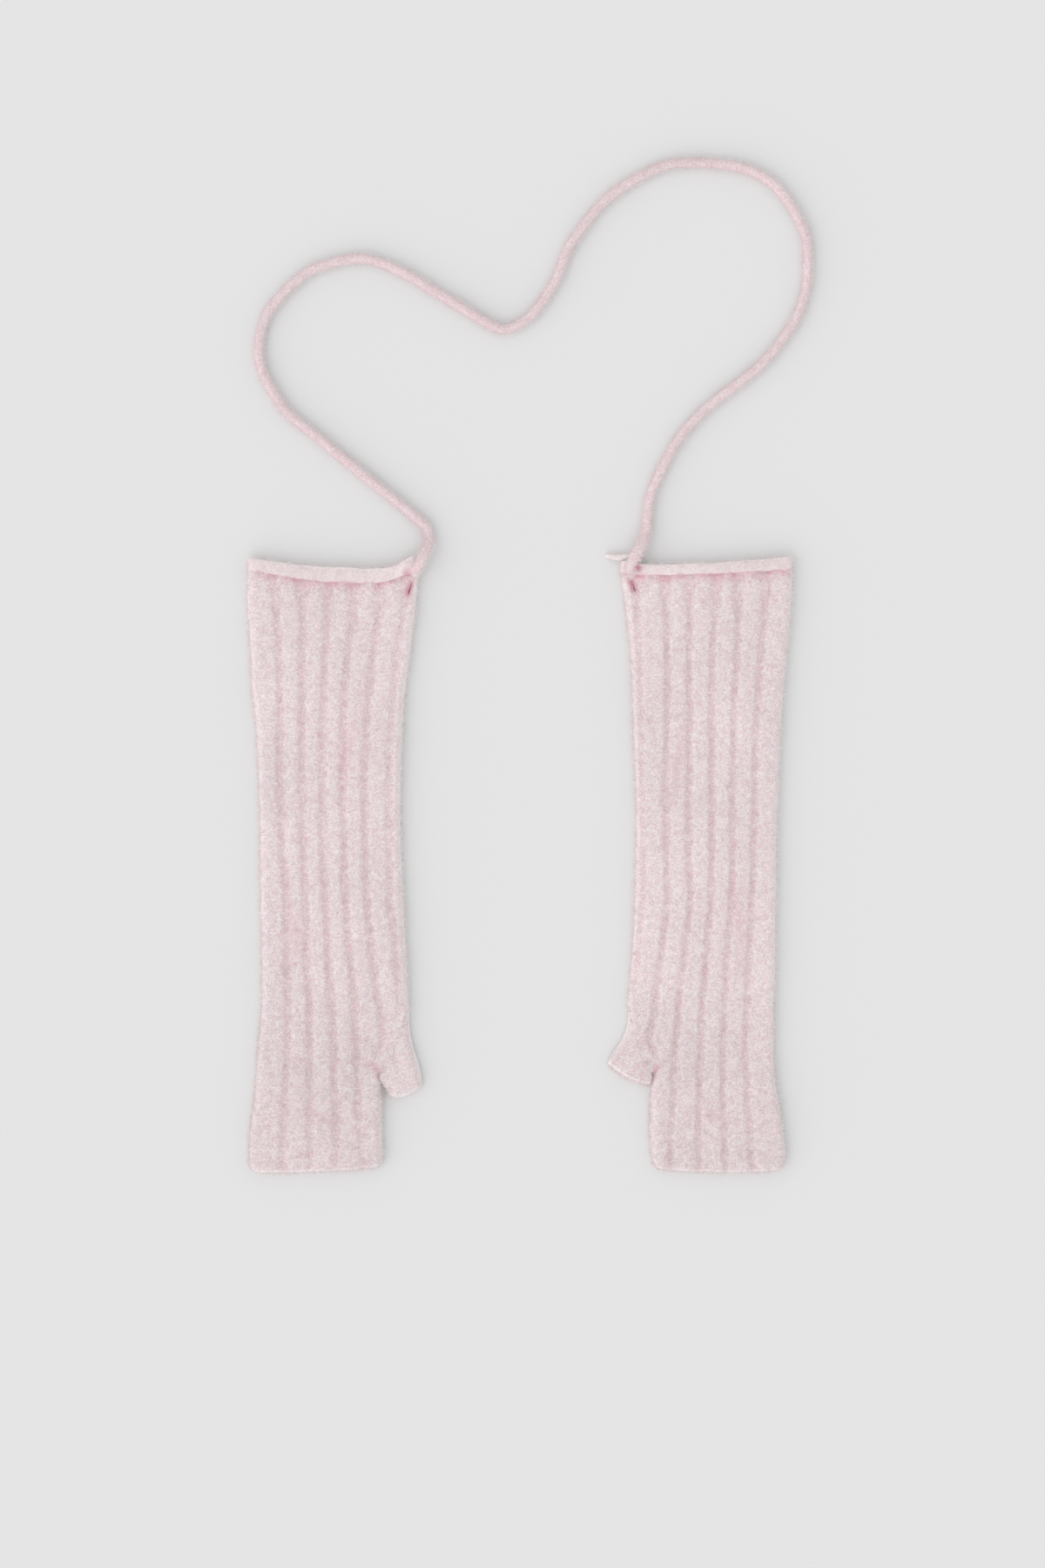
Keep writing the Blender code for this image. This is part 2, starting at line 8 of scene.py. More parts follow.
import bmesh
import bpy
import numpy as np
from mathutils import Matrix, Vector


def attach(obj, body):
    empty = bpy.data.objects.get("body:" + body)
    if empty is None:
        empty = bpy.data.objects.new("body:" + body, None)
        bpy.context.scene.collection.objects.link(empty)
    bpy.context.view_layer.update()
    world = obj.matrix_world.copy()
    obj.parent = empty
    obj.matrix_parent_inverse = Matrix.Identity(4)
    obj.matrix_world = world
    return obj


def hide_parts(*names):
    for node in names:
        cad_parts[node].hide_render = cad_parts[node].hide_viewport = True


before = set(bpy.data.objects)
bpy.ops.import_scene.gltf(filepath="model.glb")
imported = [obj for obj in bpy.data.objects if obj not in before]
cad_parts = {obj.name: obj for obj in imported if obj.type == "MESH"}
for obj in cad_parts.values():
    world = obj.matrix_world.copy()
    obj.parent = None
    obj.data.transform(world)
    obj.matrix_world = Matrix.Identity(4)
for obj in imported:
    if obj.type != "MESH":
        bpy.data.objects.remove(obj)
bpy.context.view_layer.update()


# The ground is a plain pale grey sheet of studio paper, larger than the picture, with a fine tooth.
# The light is one broad soft lamp low on the lower left, in a bright white room, seen from straight above.
GROUND_REACH = 4.0
GROUND_DROP = 0.0002
GROUND_PALE = (0.784, 0.784, 0.784, 1.0)
GROUND_DULL = (0.776, 0.776, 0.776, 1.0)
ROOM_LIGHT = 0.815
LAMP_LIGHT = 1.15
LAMP_SPREAD = math.radians(90)
LAMP_TURN = (math.radians(61), 0.0, math.radians(-50))
LAMP_WAY = (0.766, 0.643)
SHARP_FROM = math.radians(60)
CAMERA_LENS = 85.0
CAMERA_PLACE = (0.0015, 0.0480, 2.198)


def add_node(tree, kind, inputs=(), **settings):
    """Adds a node; inputs are (socket, value or the socket that feeds it)."""
    made = tree.nodes.new(kind)
    for key, value in settings.items():
        setattr(made, key, value)
    for socket, value in inputs:
        if isinstance(value, bpy.types.NodeSocket):
            tree.links.new(value, made.inputs[socket])
        else:
            made.inputs[socket].default_value = value
    return made


def noise(tree, place, scale, detail, roughness=0.5, distortion=0.0):
    return add_node(tree, "ShaderNodeTexNoise", [("Vector", place), ("Scale", scale), ("Detail", detail),
                                                 ("Roughness", roughness), ("Distortion", distortion)]).outputs["Fac"]


def mix(tree, share, under, over):
    return add_node(tree, "ShaderNodeMix", [("Factor", share), ("A", under), ("B", over)],
                    data_type="RGBA").outputs["Result"]


def start_material(name, roughness):
    material = bpy.data.materials.new(name)
    material.use_nodes = True
    shader = material.node_tree.nodes["Principled BSDF"]
    shader.inputs["Roughness"].default_value = roughness
    shader.inputs["Specular IOR Level"].default_value = 0.2
    return material, material.node_tree, shader


def object_from(bm, name, material=None):
    mesh = bpy.data.meshes.new(name)
    bm.to_mesh(mesh)
    bm.free()
    made = bpy.data.objects.new(name, mesh)
    bpy.context.collection.objects.link(made)
    if material:
        mesh.shade_smooth()
        mesh.set_sharp_from_angle(angle=SHARP_FROM)
        mesh.materials.append(material)
    return made


paper, tree, shader = start_material("studio_paper", 0.9)
place = add_node(tree, "ShaderNodeTexCoord").outputs["Object"]
tone = mix(tree, noise(tree, place, 900.0, 2.0), GROUND_PALE, GROUND_DULL)
tree.links.new(tone, shader.inputs["Base Color"])
bm = bmesh.new()
bmesh.ops.create_grid(bm, x_segments=8, y_segments=8, size=GROUND_REACH)
bmesh.ops.translate(bm, verts=bm.verts, vec=(0, 0, -GROUND_DROP))
ground = object_from(bm, "ground", paper)

world = bpy.data.worlds.new("white_room")
world.use_nodes = True
world.node_tree.nodes["Background"].inputs["Color"].default_value = (1.0, 1.0, 1.0, 1.0)
world.node_tree.nodes["Background"].inputs["Strength"].default_value = ROOM_LIGHT
bpy.context.scene.world = world
bpy.context.scene.view_settings.view_transform = "Standard"

lamp_data = bpy.data.lights.new("soft_lamp", "SUN")
lamp_data.energy = LAMP_LIGHT
lamp_data.angle = LAMP_SPREAD
lamp = bpy.data.objects.new("soft_lamp", lamp_data)
lamp.rotation_euler = LAMP_TURN
bpy.context.collection.objects.link(lamp)

camera_data = bpy.data.cameras.new("overhead")
camera_data.lens = CAMERA_LENS
camera_data.clip_end = 50.0
camera = bpy.data.objects.new("overhead", camera_data)
camera.location = CAMERA_PLACE
bpy.context.collection.objects.link(camera)
bpy.context.scene.camera = camera


# The cord is a narrow tube of plain knit in the same brushed yarn, four stitches round and about 6 mm
# thick. It lies loose on the ground and goes over each rolled edge into the eyelet below it.
CORD_ROUTE = [
    (-0.0653, 0.1664, 0.0024), (-0.0637, 0.1704, 0.0028), (-0.0616, 0.1743, 0.0070),
    (-0.0593, 0.1782, 0.0096), (-0.0573, 0.1823, 0.0091), (-0.0552, 0.1867, 0.0066),
    (-0.0538, 0.1920, 0.0038), (-0.0552, 0.1995, 0.0031), (-0.0630, 0.2070, 0.0031),
    (-0.0845, 0.2245, 0.0031), (-0.1205, 0.2540, 0.0031), (-0.1400, 0.2705, 0.0031),
    (-0.1535, 0.2950, 0.0031), (-0.1540, 0.3140, 0.0031), (-0.1470, 0.3310, 0.0031),
    (-0.1255, 0.3515, 0.0031), (-0.0965, 0.3595, 0.0031), (-0.0730, 0.3530, 0.0031),
    (-0.0330, 0.3295, 0.0031), (-0.0105, 0.3175, 0.0031),
    (0.0065, 0.3255, 0.0031), (0.0210, 0.3460, 0.0031), (0.0305, 0.3685, 0.0031),
    (0.0530, 0.3960, 0.0031), (0.0880, 0.4150, 0.0031), (0.1295, 0.4140, 0.0031),
    (0.1530, 0.4010, 0.0031), (0.1690, 0.3740, 0.0031), (0.1700, 0.3450, 0.0031),
    (0.1630, 0.3225, 0.0031), (0.1430, 0.2965, 0.0031), (0.1110, 0.2710, 0.0031),
    (0.0920, 0.2495, 0.0031), (0.0775, 0.2190, 0.0031), (0.0748, 0.1975, 0.0037),
    (0.0712, 0.1880, 0.0074), (0.0658, 0.1780, 0.0092),
    (0.0652, 0.1733, 0.0066), (0.0659, 0.1693, 0.0026), (0.0669, 0.1663, 0.0023),
]
TAIL_ROUTE = [
    (0.0728, 0.1836, 0.0022, 0.0021), (0.0680, 0.1831, 0.0021, 0.0021), (0.0630, 0.1825, 0.0021, 0.0021),
    (0.0585, 0.1823, 0.0020, 0.0019), (0.0545, 0.1827, 0.0017, 0.0016), (0.0508, 0.1835, 0.0013, 0.0011),
]
CORD_RADIUS = 0.00290
CORD_ENDS = [
    (0.0, 0.0022, 0.0021), (0.0035, 0.0024, 0.0024), (0.0075, 0.0028, 0.0031), (0.0125, 0.0031, 0.0028),
    (0.020, 0.0033, 0.0035), (0.030, 0.0031, 0.0034), (0.045, 0.0029, 0.0029),
]
CORD_SIDES = 24
CORD_RING_STEP = 0.00055
CORD_WALES = 4
CORD_ROW = 0.0023
CORD_STITCH_RELIEF = 0.00022
CORD_CAP = (0.0006, 0.0004)
CORD_TUCK = (0.0022, 0.0042)
CORD_NAP = 1.1e6
CORD_NAP_LEAN = (0.7, 1.45)
ROUTE_STEPS = 24
ROUTE_EASE = 0.82
YARN_PINK = (0.848, 0.745, 0.752, 1.0)
YARN_PALE = (0.925, 0.885, 0.880, 1.0)
# The deep pink is also the painted shade in the hollows between the ribs.
YARN_DEEP_AND_HOLLOW_SHADE = (0.785, 0.592, 0.618, 1.0)
YARN_LILAC = (0.800, 0.720, 0.775, 1.0)
# Painted shade for creases, dents, the slots and the inside of the tubes.
PAINTED_CREASE_SHADE = (0.720, 0.345, 0.430, 1.0)
# The pale nap along outlines, also used as painted light on shaded sides.
YARN_FUZZ_AND_RIM_LIGHT = (0.950, 0.915, 0.905, 1.0)
YARN_SHEEN = 0.35
HAND_TONE = 0.955
HAND_FROM_TO = (-0.115, -0.070)
RUNG_SCALES = (300.0, 950.0, 400.0)
NAP_SHADES = [(0.0, (0.740, 0.550, 0.580, 1.0)), (0.35, (0.815, 0.680, 0.697, 1.0)),
              (0.65, (0.855, 0.780, 0.780, 1.0)), (0.85, (0.890, 0.855, 0.850, 1.0)),
              (1.0, (0.940, 0.915, 0.905, 1.0))]
FIBRE_POINTS = 5
FIBRE_FACES = 6


def soft_noise(u, v, seed):
    """Smooth noise from -1 to 1 on a plane, one hump for each unit. u and v may be a column and a row."""
    lattice = np.random.default_rng(seed).uniform(-1, 1, (97, 89))
    i = np.floor(u).astype(int)
    j = np.floor(v).astype(int)
    a = u - i
    b = v - j
    a = a * a * a * (a * (a * 6 - 15) + 10)
    b = b * b * b * (b * (b * 6 - 15) + 10)
    low = lattice[i % 97, j % 89] * (1 - a) + lattice[(i + 1) % 97, j % 89] * a
    high = lattice[i % 97, (j + 1) % 89] * (1 - a) + lattice[(i + 1) % 97, (j + 1) % 89] * a
    return low * (1 - b) + high * b


def smooth_step(value, start, full):
    t = np.clip((value - start) / (full - start), 0.0, 1.0)
    return t * t * (3 - 2 * t)


def skin(bm, rings, relief):
    """Wraps a grid round the rings and closes it along the seam. Each point's relief (height share of the
    rib, shade) becomes a UV map. Returns the end rings."""
    along = len(rings) - 1
    around = len(rings[0])
    relief_map = bm.loops.layers.uv.get("relief") or bm.loops.layers.uv.new("relief")
    grid = bmesh.ops.create_grid(bm, x_segments=along, y_segments=around, size=1.0)["verts"]
    ends = ([None] * around, [None] * around)
    seam = [None] * (along + 1)
    spare = {}
    for vert in grid:
        i = round((vert.co.x + 1) / 2 * along)
        j = round((vert.co.y + 1) / 2 * around)
        k = j % around
        for loop in vert.link_loops:
            loop[relief_map].uv = relief[i][k]
        vert.co = rings[i][k]
        if j == around:
            spare[vert] = i
            continue
        if j == 0:
            seam[i] = vert
        if i in (0, along):
            ends[0 if i == 0 else 1][j] = vert
    bmesh.ops.weld_verts(bm, targetmap={vert: seam[i] for vert, i in spare.items()})
    return ends


def ring_edges(ring):
    found = []
    for a, b in zip(ring, ring[1:] + ring[:1]):
        found.append(next(edge for edge in a.link_edges if edge.other_vert(a) is b))
    return found


def face_outwards(bm):
    bmesh.ops.recalc_face_normals(bm, faces=bm.faces)


def eased(start, end, leave, arrive, t):
    """A point of the smooth curve between two points that leaves and arrives in the given directions."""
    return (start * (2 * t**3 - 3 * t**2 + 1) + leave * (t**3 - 2 * t**2 + t)
            + end * (3 * t**2 - 2 * t**3) + arrive * (t**3 - t**2))


def smooth_route(points):
    """A dense smooth curve through all the points."""
    dense = []
    for i in range(len(points) - 1):
        p0 = points[max(i - 1, 0)]
        p1 = points[i]
        p2 = points[i + 1]
        p3 = points[min(i + 2, len(points) - 1)]
        leave = (p2 - p0) * ROUTE_EASE / 2
        arrive = (p3 - p1) * ROUTE_EASE / 2
        for k in range(ROUTE_STEPS):
            dense.append(eased(p1, p2, leave, arrive, k / ROUTE_STEPS))
    dense.append(points[-1])
    return np.array([tuple(point) for point in dense])


def even_points(dense, step):
    """Points of a dense curve at even steps, with their distances from its start and its length."""
    travelled = np.concatenate([[0.0], np.cumsum(np.linalg.norm(np.diff(dense[:, :3], axis=0), axis=1))])
    count = max(2, round(travelled[-1] / step))
    at = np.linspace(0.0, travelled[-1], count + 1)
    found = np.stack([np.interp(at, travelled, dense[:, c]) for c in range(dense.shape[1])], axis=1)
    return found, at, travelled[-1]


def knitted_strand(name, points, at, radii, material, seed, tucked_end_shade, paleness_and_painted_light):
    """A closed tube along the points, with its stitches as low diagonal humps that meet in chains. Its shade map
    paints light on the side away from the lamp and mostly shade on the side towards it, and paints shade on the ends
    that go into the eyelets.
    """
    ahead = np.gradient(points, axis=0)
    ahead /= np.linalg.norm(ahead, axis=1)[:, None]
    sideways = np.cross(ahead, (0.0, 0.0, 1.0))
    sideways /= np.linalg.norm(sideways, axis=1)[:, None]
    upwards = np.cross(sideways, ahead)
    turn = 2 * np.pi * np.arange(CORD_SIDES) / CORD_SIDES
    s = at[:, None] / CORD_ROW
    wale = turn[None, :] / (2 * np.pi) * CORD_WALES + 0.12 * np.sin(at[:, None] / 0.021)
    lean = np.abs(wale % 1.0 - 0.5)
    stitch = 0.5 + 0.5 * np.cos(2 * np.pi * (s + 1.1 * lean + 0.25 * soft_noise(s / 3, wale, seed)))
    channel = np.abs(np.sin(np.pi * wale))
    relief = 0.65 * stitch + 0.35 * channel
    uneven = (soft_noise(at[:, None] / 0.004, wale, seed + 1) * 0.5
              + soft_noise(at[:, None] / 0.0012, wale * 2, seed + 2))
    share = radii[:, None] / CORD_RADIUS
    radius = radii[:, None] - CORD_STITCH_RELIEF * share * (1.0 - relief) + 0.00010 * uneven * share
    outwards = (sideways[:, None, :] * np.cos(turn)[None, :, None]
                + upwards[:, None, :] * np.sin(turn)[None, :, None])
    rings = points[:, None, :] + outwards * radius[:, :, None]
    # Painted light on the side away from the lamp and mostly painted shade on the side towards it, which flatten the
    # lamp's shading of the round strand.
    from_lamp = outwards[:, :, :2] @ np.array(LAMP_WAY)
    painted_light_and_shade = 0.16 * smooth_step(-from_lamp, 0.1, 0.8) - 0.95 * smooth_step(from_lamp, 0.45, 0.95)
    painted_light_and_shade = painted_light_and_shade - 0.35 * smooth_step(-from_lamp, 0.85, 1.0)
    painted_light_and_shade = painted_light_and_shade * (1 + 0.6 * soft_noise(s * 1.9, wale * 1.7, seed + 3))
    # Painted shade on the ends that go down into the eyelets.
    shade_at_tucked_ends = tucked_end_shade * (1 - smooth_step(np.minimum(at, at[-1] - at), *CORD_TUCK))
    shade = np.stack([relief, np.maximum(painted_light_and_shade - paleness_and_painted_light, shade_at_tucked_ends[:, None] - paleness_and_painted_light)], axis=2)
    bm = bmesh.new()
    first, last = skin(bm, rings, shade)
    for ring in (first, last):
        cap = bmesh.ops.contextual_create(bm, geom=ring_edges(ring))["faces"]
        inset = bmesh.ops.inset_region(bm, faces=cap, thickness=CORD_CAP[0], depth=CORD_CAP[1])["faces"]
        bmesh.ops.triangulate(bm, faces=cap + inset)
    face_outwards(bm)
    return object_from(bm, name, material)


def ramp(tree, value, low, high, start=0.0, end=1.0):
    """Maps a value's range onto another range, and holds it there beyond."""
    return add_node(tree, "ShaderNodeMapRange", [("Value", value), ("From Min", low), ("From Max", high),
                                                 ("To Min", start), ("To Max", end)]).outputs["Result"]


def work_out(tree, operation, *values):
    return add_node(tree, "ShaderNodeMath", enumerate(values), operation=operation).outputs[0]


def colour_knit(tree, shader, place, tone, light):
    """Lights or dims the colour. It is a little deeper over the hand and the thumb than along the arm."""
    down = add_node(tree, "ShaderNodeSeparateXYZ", [("Vector", place)]).outputs["Y"]
    tone_scale = work_out(tree, "MULTIPLY", light, ramp(tree, down, *HAND_FROM_TO, HAND_TONE, 1.0))
    whole = add_node(tree, "ShaderNodeVectorMath", [(0, tone), ("Scale", tone_scale)], operation="SCALE")
    tree.links.new(whole.outputs["Vector"], shader.inputs["Base Color"])


def brushed_knit(name, pale, pink, deep_fleck_and_hollow_shade, lilac, tooth_height):
    """Brushed yarn: deeper pink in the hollows as painted shade, with flecks of each shade where fibres curl over
    each other. The relief map's first number is the rib's height and its second the shade: above 0 painted crease
    shade, below 0 the pale nap along an outline, with painted light where that outline is shaded."""
    material, tree, shader = start_material(name, 1.0)
    shader.inputs["Sheen Weight"].default_value = YARN_SHEEN
    shader.inputs["Sheen Roughness"].default_value = 0.5
    shader.inputs["Sheen Tint"].default_value = (1.0, 0.95, 0.95, 1.0)
    place = add_node(tree, "ShaderNodeTexCoord").outputs["Object"]
    relief = add_node(tree, "ShaderNodeUVMap", uv_map="relief").outputs["UV"]
    height, shade, _ = add_node(tree, "ShaderNodeSeparateXYZ", [("Vector", relief)]).outputs
    squeezed = add_node(tree, "ShaderNodeVectorMath", [(0, place), (1, RUNG_SCALES)], operation="MULTIPLY")
    rungs = noise(tree, squeezed.outputs["Vector"], 1.0, 2.0, distortion=0.8)
    curls = noise(tree, place, 380.0, 3.0, 0.72, 2.0)
    strands = noise(tree, place, 560.0, 2.0, 0.6, 2.0)
    grain = noise(tree, place, 1000.0, 2.0)
    clouds = noise(tree, place, 150.0, 2.0)
    drift = noise(tree, place, 18.0, 1.0)
    ragged = work_out(tree, "MULTIPLY_ADD", curls, 1.0, height)
    ragged = work_out(tree, "MULTIPLY_ADD", rungs, 1.6, ragged)
    # Painted shade: the lower the rib, the nearer its colour comes to the deep pink.
    tone = mix(tree, ramp(tree, ragged, 1.45, 2.10), deep_fleck_and_hollow_shade, pink)
    # After the random flecks, the list ends with painted crease shade and the pale nap with its painted rim light.
    flecks = [
        (rungs, 0.50, 0.62, 0.35, pale), (rungs, 0.48, 0.36, 0.40, deep_fleck_and_hollow_shade), (clouds, 0.50, 0.64, 0.45, lilac),
        (strands, 0.52, 0.60, 0.42, pale), (strands, 0.48, 0.40, 0.42, deep_fleck_and_hollow_shade), (grain, 0.52, 0.58, 0.60, pale),
        (grain, 0.48, 0.42, 0.55, deep_fleck_and_hollow_shade), (shade, 0.0, 1.0, 0.92, PAINTED_CREASE_SHADE), (shade, 0.0, -1.0, 0.85, YARN_FUZZ_AND_RIM_LIGHT),
    ]
    for value, low, high, most, over in flecks:
        tone = mix(tree, ramp(tree, value, low, high, 0.0, most), tone, over)
    colour_knit(tree, shader, place, tone, ramp(tree, drift, 0.3, 0.7, 0.97, 1.03))
    tooth = add_node(tree, "ShaderNodeBump", [("Height", work_out(tree, "MULTIPLY_ADD", strands, 0.25, curls)),
                                              ("Distance", tooth_height), ("Strength", 0.9)])
    tree.links.new(tooth.outputs["Normal"], shader.inputs["Normal"])
    return material


def fibre_shape(name, long, thick, bend):
    """One curved fibre, thickest at its middle, with its foot just under the knit."""
    bm = bmesh.new()
    foot = bm.verts.new((0, 0, -0.06 * long))
    tip = bm.verts.new((-0.3 * bend, 0, 0.94 * long))
    waist = []
    for k in range(3):
        turn = 2 * math.pi * k / 3
        waist.append(bm.verts.new((bend + thick / 2 * math.cos(turn), thick / 2 * math.sin(turn), 0.45 * long)))
    for a, b in zip(waist, waist[1:] + waist[:1]):
        bm.faces.new((foot, b, a))
        bm.faces.new((tip, a, b))
    face_outwards(bm)
    return object_from(bm, name)


def settle(made):
    """Applies an object's modifiers to its mesh and removes them."""
    shown = made.evaluated_get(bpy.context.evaluated_depsgraph_get())
    mesh = bpy.data.meshes.new_from_object(shown)
    made.modifiers.clear()
    made.data = mesh


def bake_places(mesh):
    """Gives each fibre its own small field of a bake map, with its faces side by side in it."""
    count = len(mesh.vertices) // FIBRE_POINTS
    fields = math.ceil(math.sqrt(count))
    faces = np.zeros(len(mesh.loops), dtype=int)
    mesh.loops.foreach_get("vertex_index", faces)
    fibre = faces // FIBRE_POINTS
    point = faces % FIBRE_POINTS
    number = np.arange(len(faces)) // 3 % FIBRE_FACES
    across = (number // 2 + np.select([point < 2, point == 2 + number // 2], [0.5, 0.05], 0.95)) / 3
    along = np.select([point == 0, point == 1], [0.05, 0.95], 0.5)
    places = np.stack([(fibre % fields + across) / fields, (fibre // fields + along) / fields], axis=1)
    layer = mesh.uv_layers.new(name="OFBake")
    layer.data.foreach_set("uv", places.ravel())


def nap(name, host, fibre, per_area, tilt, seed):
    """Brushed fibres that stand and lie on a piece, thickest along its outline and none underneath."""
    made = bpy.data.objects.new(name, host.data.copy())
    bpy.context.collection.objects.link(made)
    group = bpy.data.node_groups.new(name, "GeometryNodeTree")
    for way in ("INPUT", "OUTPUT"):
        group.interface.new_socket("Geometry", in_out=way, socket_type="NodeSocketGeometry")
    start = add_node(group, "NodeGroupInput")
    facing = add_node(group, "GeometryNodeInputNormal").outputs["Normal"]
    up = add_node(group, "ShaderNodeSeparateXYZ", [("Vector", facing)]).outputs["Z"]
    place = add_node(group, "GeometryNodeInputPosition").outputs["Position"]
    relief = add_node(group, "GeometryNodeInputNamedAttribute", [("Name", "relief")], data_type="FLOAT_VECTOR")
    shade = add_node(group, "ShaderNodeSeparateXYZ", [("Vector", relief.outputs["Attribute"])]).outputs["Y"]
    above = ramp(group, up, -0.35, 0.10)
    fringe = ramp(group, up, 0.85, 0.35, 1.0, 2.2)
    tufts = ramp(group, noise(group, place, 420.0, 2.0), 0.38, 0.62, 0.35, 1.65)
    bare = ramp(group, shade, 0.25, 0.75, per_area, 0.12 * per_area)
    density = work_out(group, "MULTIPLY", work_out(group, "MULTIPLY", above, fringe), tufts)
    density = work_out(group, "MULTIPLY", density, bare)
    spots = add_node(group, "GeometryNodeDistributePointsOnFaces",
                     [("Mesh", start.outputs[0]), ("Density", density), ("Seed", seed)])
    across, _, steep = add_node(group, "ShaderNodeSeparateXYZ", [("Vector", spots.outputs["Normal"])]).outputs
    # Painted light: fibres on steep sides are tinted paler, fully on the side away from the lamp and less on the lamp
    # side.
    rim = work_out(group, "MULTIPLY", ramp(group, steep, 0.80, 0.35), ramp(group, across, -0.3, 0.3, 0.3, 1.0))
    marked = add_node(group, "GeometryNodeStoreNamedAttribute",
                      [("Geometry", spots.outputs["Points"]), ("Name", "rim"), ("Value", rim)],
                      data_type="FLOAT", domain="POINT")
    lean = add_node(group, "FunctionNodeRandomValue",
                    [(0, (tilt[0], 0.0, 0.0)), (1, (tilt[1], 0.0, 2 * math.pi)), ("Seed", seed + 1)],
                    data_type="FLOAT_VECTOR")
    upright = ramp(group, up, 0.30, 0.85, 0.45)
    lifted = add_node(group, "ShaderNodeCombineXYZ", [("X", upright), ("Y", 1.0), ("Z", 1.0)])
    lean = add_node(group, "ShaderNodeVectorMath", [(0, lean.outputs[0]), (1, lifted.outputs[0])],
                    operation="MULTIPLY")
    local = add_node(group, "FunctionNodeEulerToRotation", [("Euler", lean.outputs[0])])
    turned = add_node(group, "FunctionNodeRotateRotation",
                      [("Rotation", spots.outputs["Rotation"]), ("Rotate By", local.outputs[0])],
                      rotation_space="LOCAL")
    sizes = add_node(group, "FunctionNodeRandomValue", [(2, 0.55), (3, 1.35), ("Seed", seed + 2)], data_type="FLOAT")
    one = add_node(group, "GeometryNodeObjectInfo", [("Object", fibre)])
    many = add_node(group, "GeometryNodeInstanceOnPoints",
                    [("Points", marked.outputs["Geometry"]), ("Instance", one.outputs["Geometry"]),
                     ("Rotation", turned.outputs[0]), ("Scale", sizes.outputs[1])])
    real = add_node(group, "GeometryNodeRealizeInstances", [("Geometry", many.outputs[0])])
    end = add_node(group, "NodeGroupOutput")
    group.links.new(real.outputs[0], end.inputs[0])
    made.modifiers.new("nap", "NODES").node_group = group
    settle(made)
    mesh = made.data
    for layer in list(mesh.uv_layers):
        mesh.uv_layers.remove(layer)
    bake_places(mesh)
    rim = np.zeros(len(mesh.vertices), dtype=np.float32)
    mesh.attributes["rim"].data.foreach_get("value", rim)
    mesh.attributes.remove(mesh.attributes["rim"])
    chance = np.random.default_rng(seed).random(len(rim) // FIBRE_POINTS).repeat(FIBRE_POINTS)
    tint = mesh.attributes.new("tint", "FLOAT", "POINT")
    # The pale tint of the rim fibres is partly real fringe and partly painted light.
    tint.data.foreach_set("value", 0.90 * chance * (1 - rim) + (0.70 + 0.30 * chance) * rim)
    mesh.materials.clear()
    mesh.materials.append(nap_wool)
    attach(made, "root")
    return made


nap_wool, tree, shader = start_material("nap_wool", 1.0)
shader.inputs["Sheen Weight"].default_value = YARN_SHEEN
tint = add_node(tree, "ShaderNodeAttribute", attribute_name="tint")
shades = add_node(tree, "ShaderNodeValToRGB", [("Fac", tint.outputs["Fac"])])
shades.color_ramp.interpolation = "LINEAR"
for k, (at_share, tone) in enumerate(NAP_SHADES):
    stop = shades.color_ramp.elements[k] if k < 2 else shades.color_ramp.elements.new(at_share)
    stop.position = at_share
    stop.color = tone
place = add_node(tree, "ShaderNodeTexCoord").outputs["Object"]
grain = ramp(tree, noise(tree, place, 1400.0, 1.0), 0.3, 0.7, 0.94, 1.04)
colour_knit(tree, shader, place, shades.outputs["Color"], grain)
body_fibre = fibre_shape("body_fibre", long=0.0020, thick=0.00026, bend=0.00032)
cord_fibre = fibre_shape("cord_fibre", long=0.0017, thick=0.00020, bend=0.00026)

cord_knit = brushed_knit("cord_knit", (0.865, 0.795, 0.795, 1.0), (0.815, 0.690, 0.705, 1.0),
                         (0.765, 0.580, 0.610, 1.0), (0.785, 0.690, 0.730, 1.0), 0.0004)
points, at, cord_length = even_points(smooth_route([Vector(point) for point in CORD_ROUTE]), CORD_RING_STEP)
from_end, left_radii, right_radii = np.array(CORD_ENDS).T
radii = np.where(at < cord_length / 2, np.interp(at, from_end, left_radii),
                 np.interp(cord_length - at, from_end, right_radii))
cord = knitted_strand("knitted_cord", points, at, radii, cord_knit, 11, 1.0, 0.0)
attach(cord, "root")
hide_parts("cord")

tail_dense = smooth_route([Vector(row[:3]) for row in TAIL_ROUTE])
tail_radii = np.interp(np.linspace(0, 1, len(tail_dense)), np.linspace(0, 1, len(TAIL_ROUTE)),
                       [row[3] for row in TAIL_ROUTE])
tail_points, tail_at, _ = even_points(np.column_stack([tail_dense, tail_radii]), CORD_RING_STEP)
# The loose end is painted paler all over, partly its own paler nap and partly painted light on its shaded top.
tail = knitted_strand("loose_end", tail_points[:, :3], tail_at, tail_points[:, 3], cord_knit, 21, 0.0, 0.75)
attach(tail, "root")
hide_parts("cord_tail")
cord_nap = nap("cord_nap", cord, cord_fibre, CORD_NAP, CORD_NAP_LEAN, 12)
tail_nap = nap("loose_end_nap", tail, cord_fibre, CORD_NAP, CORD_NAP_LEAN, 22)


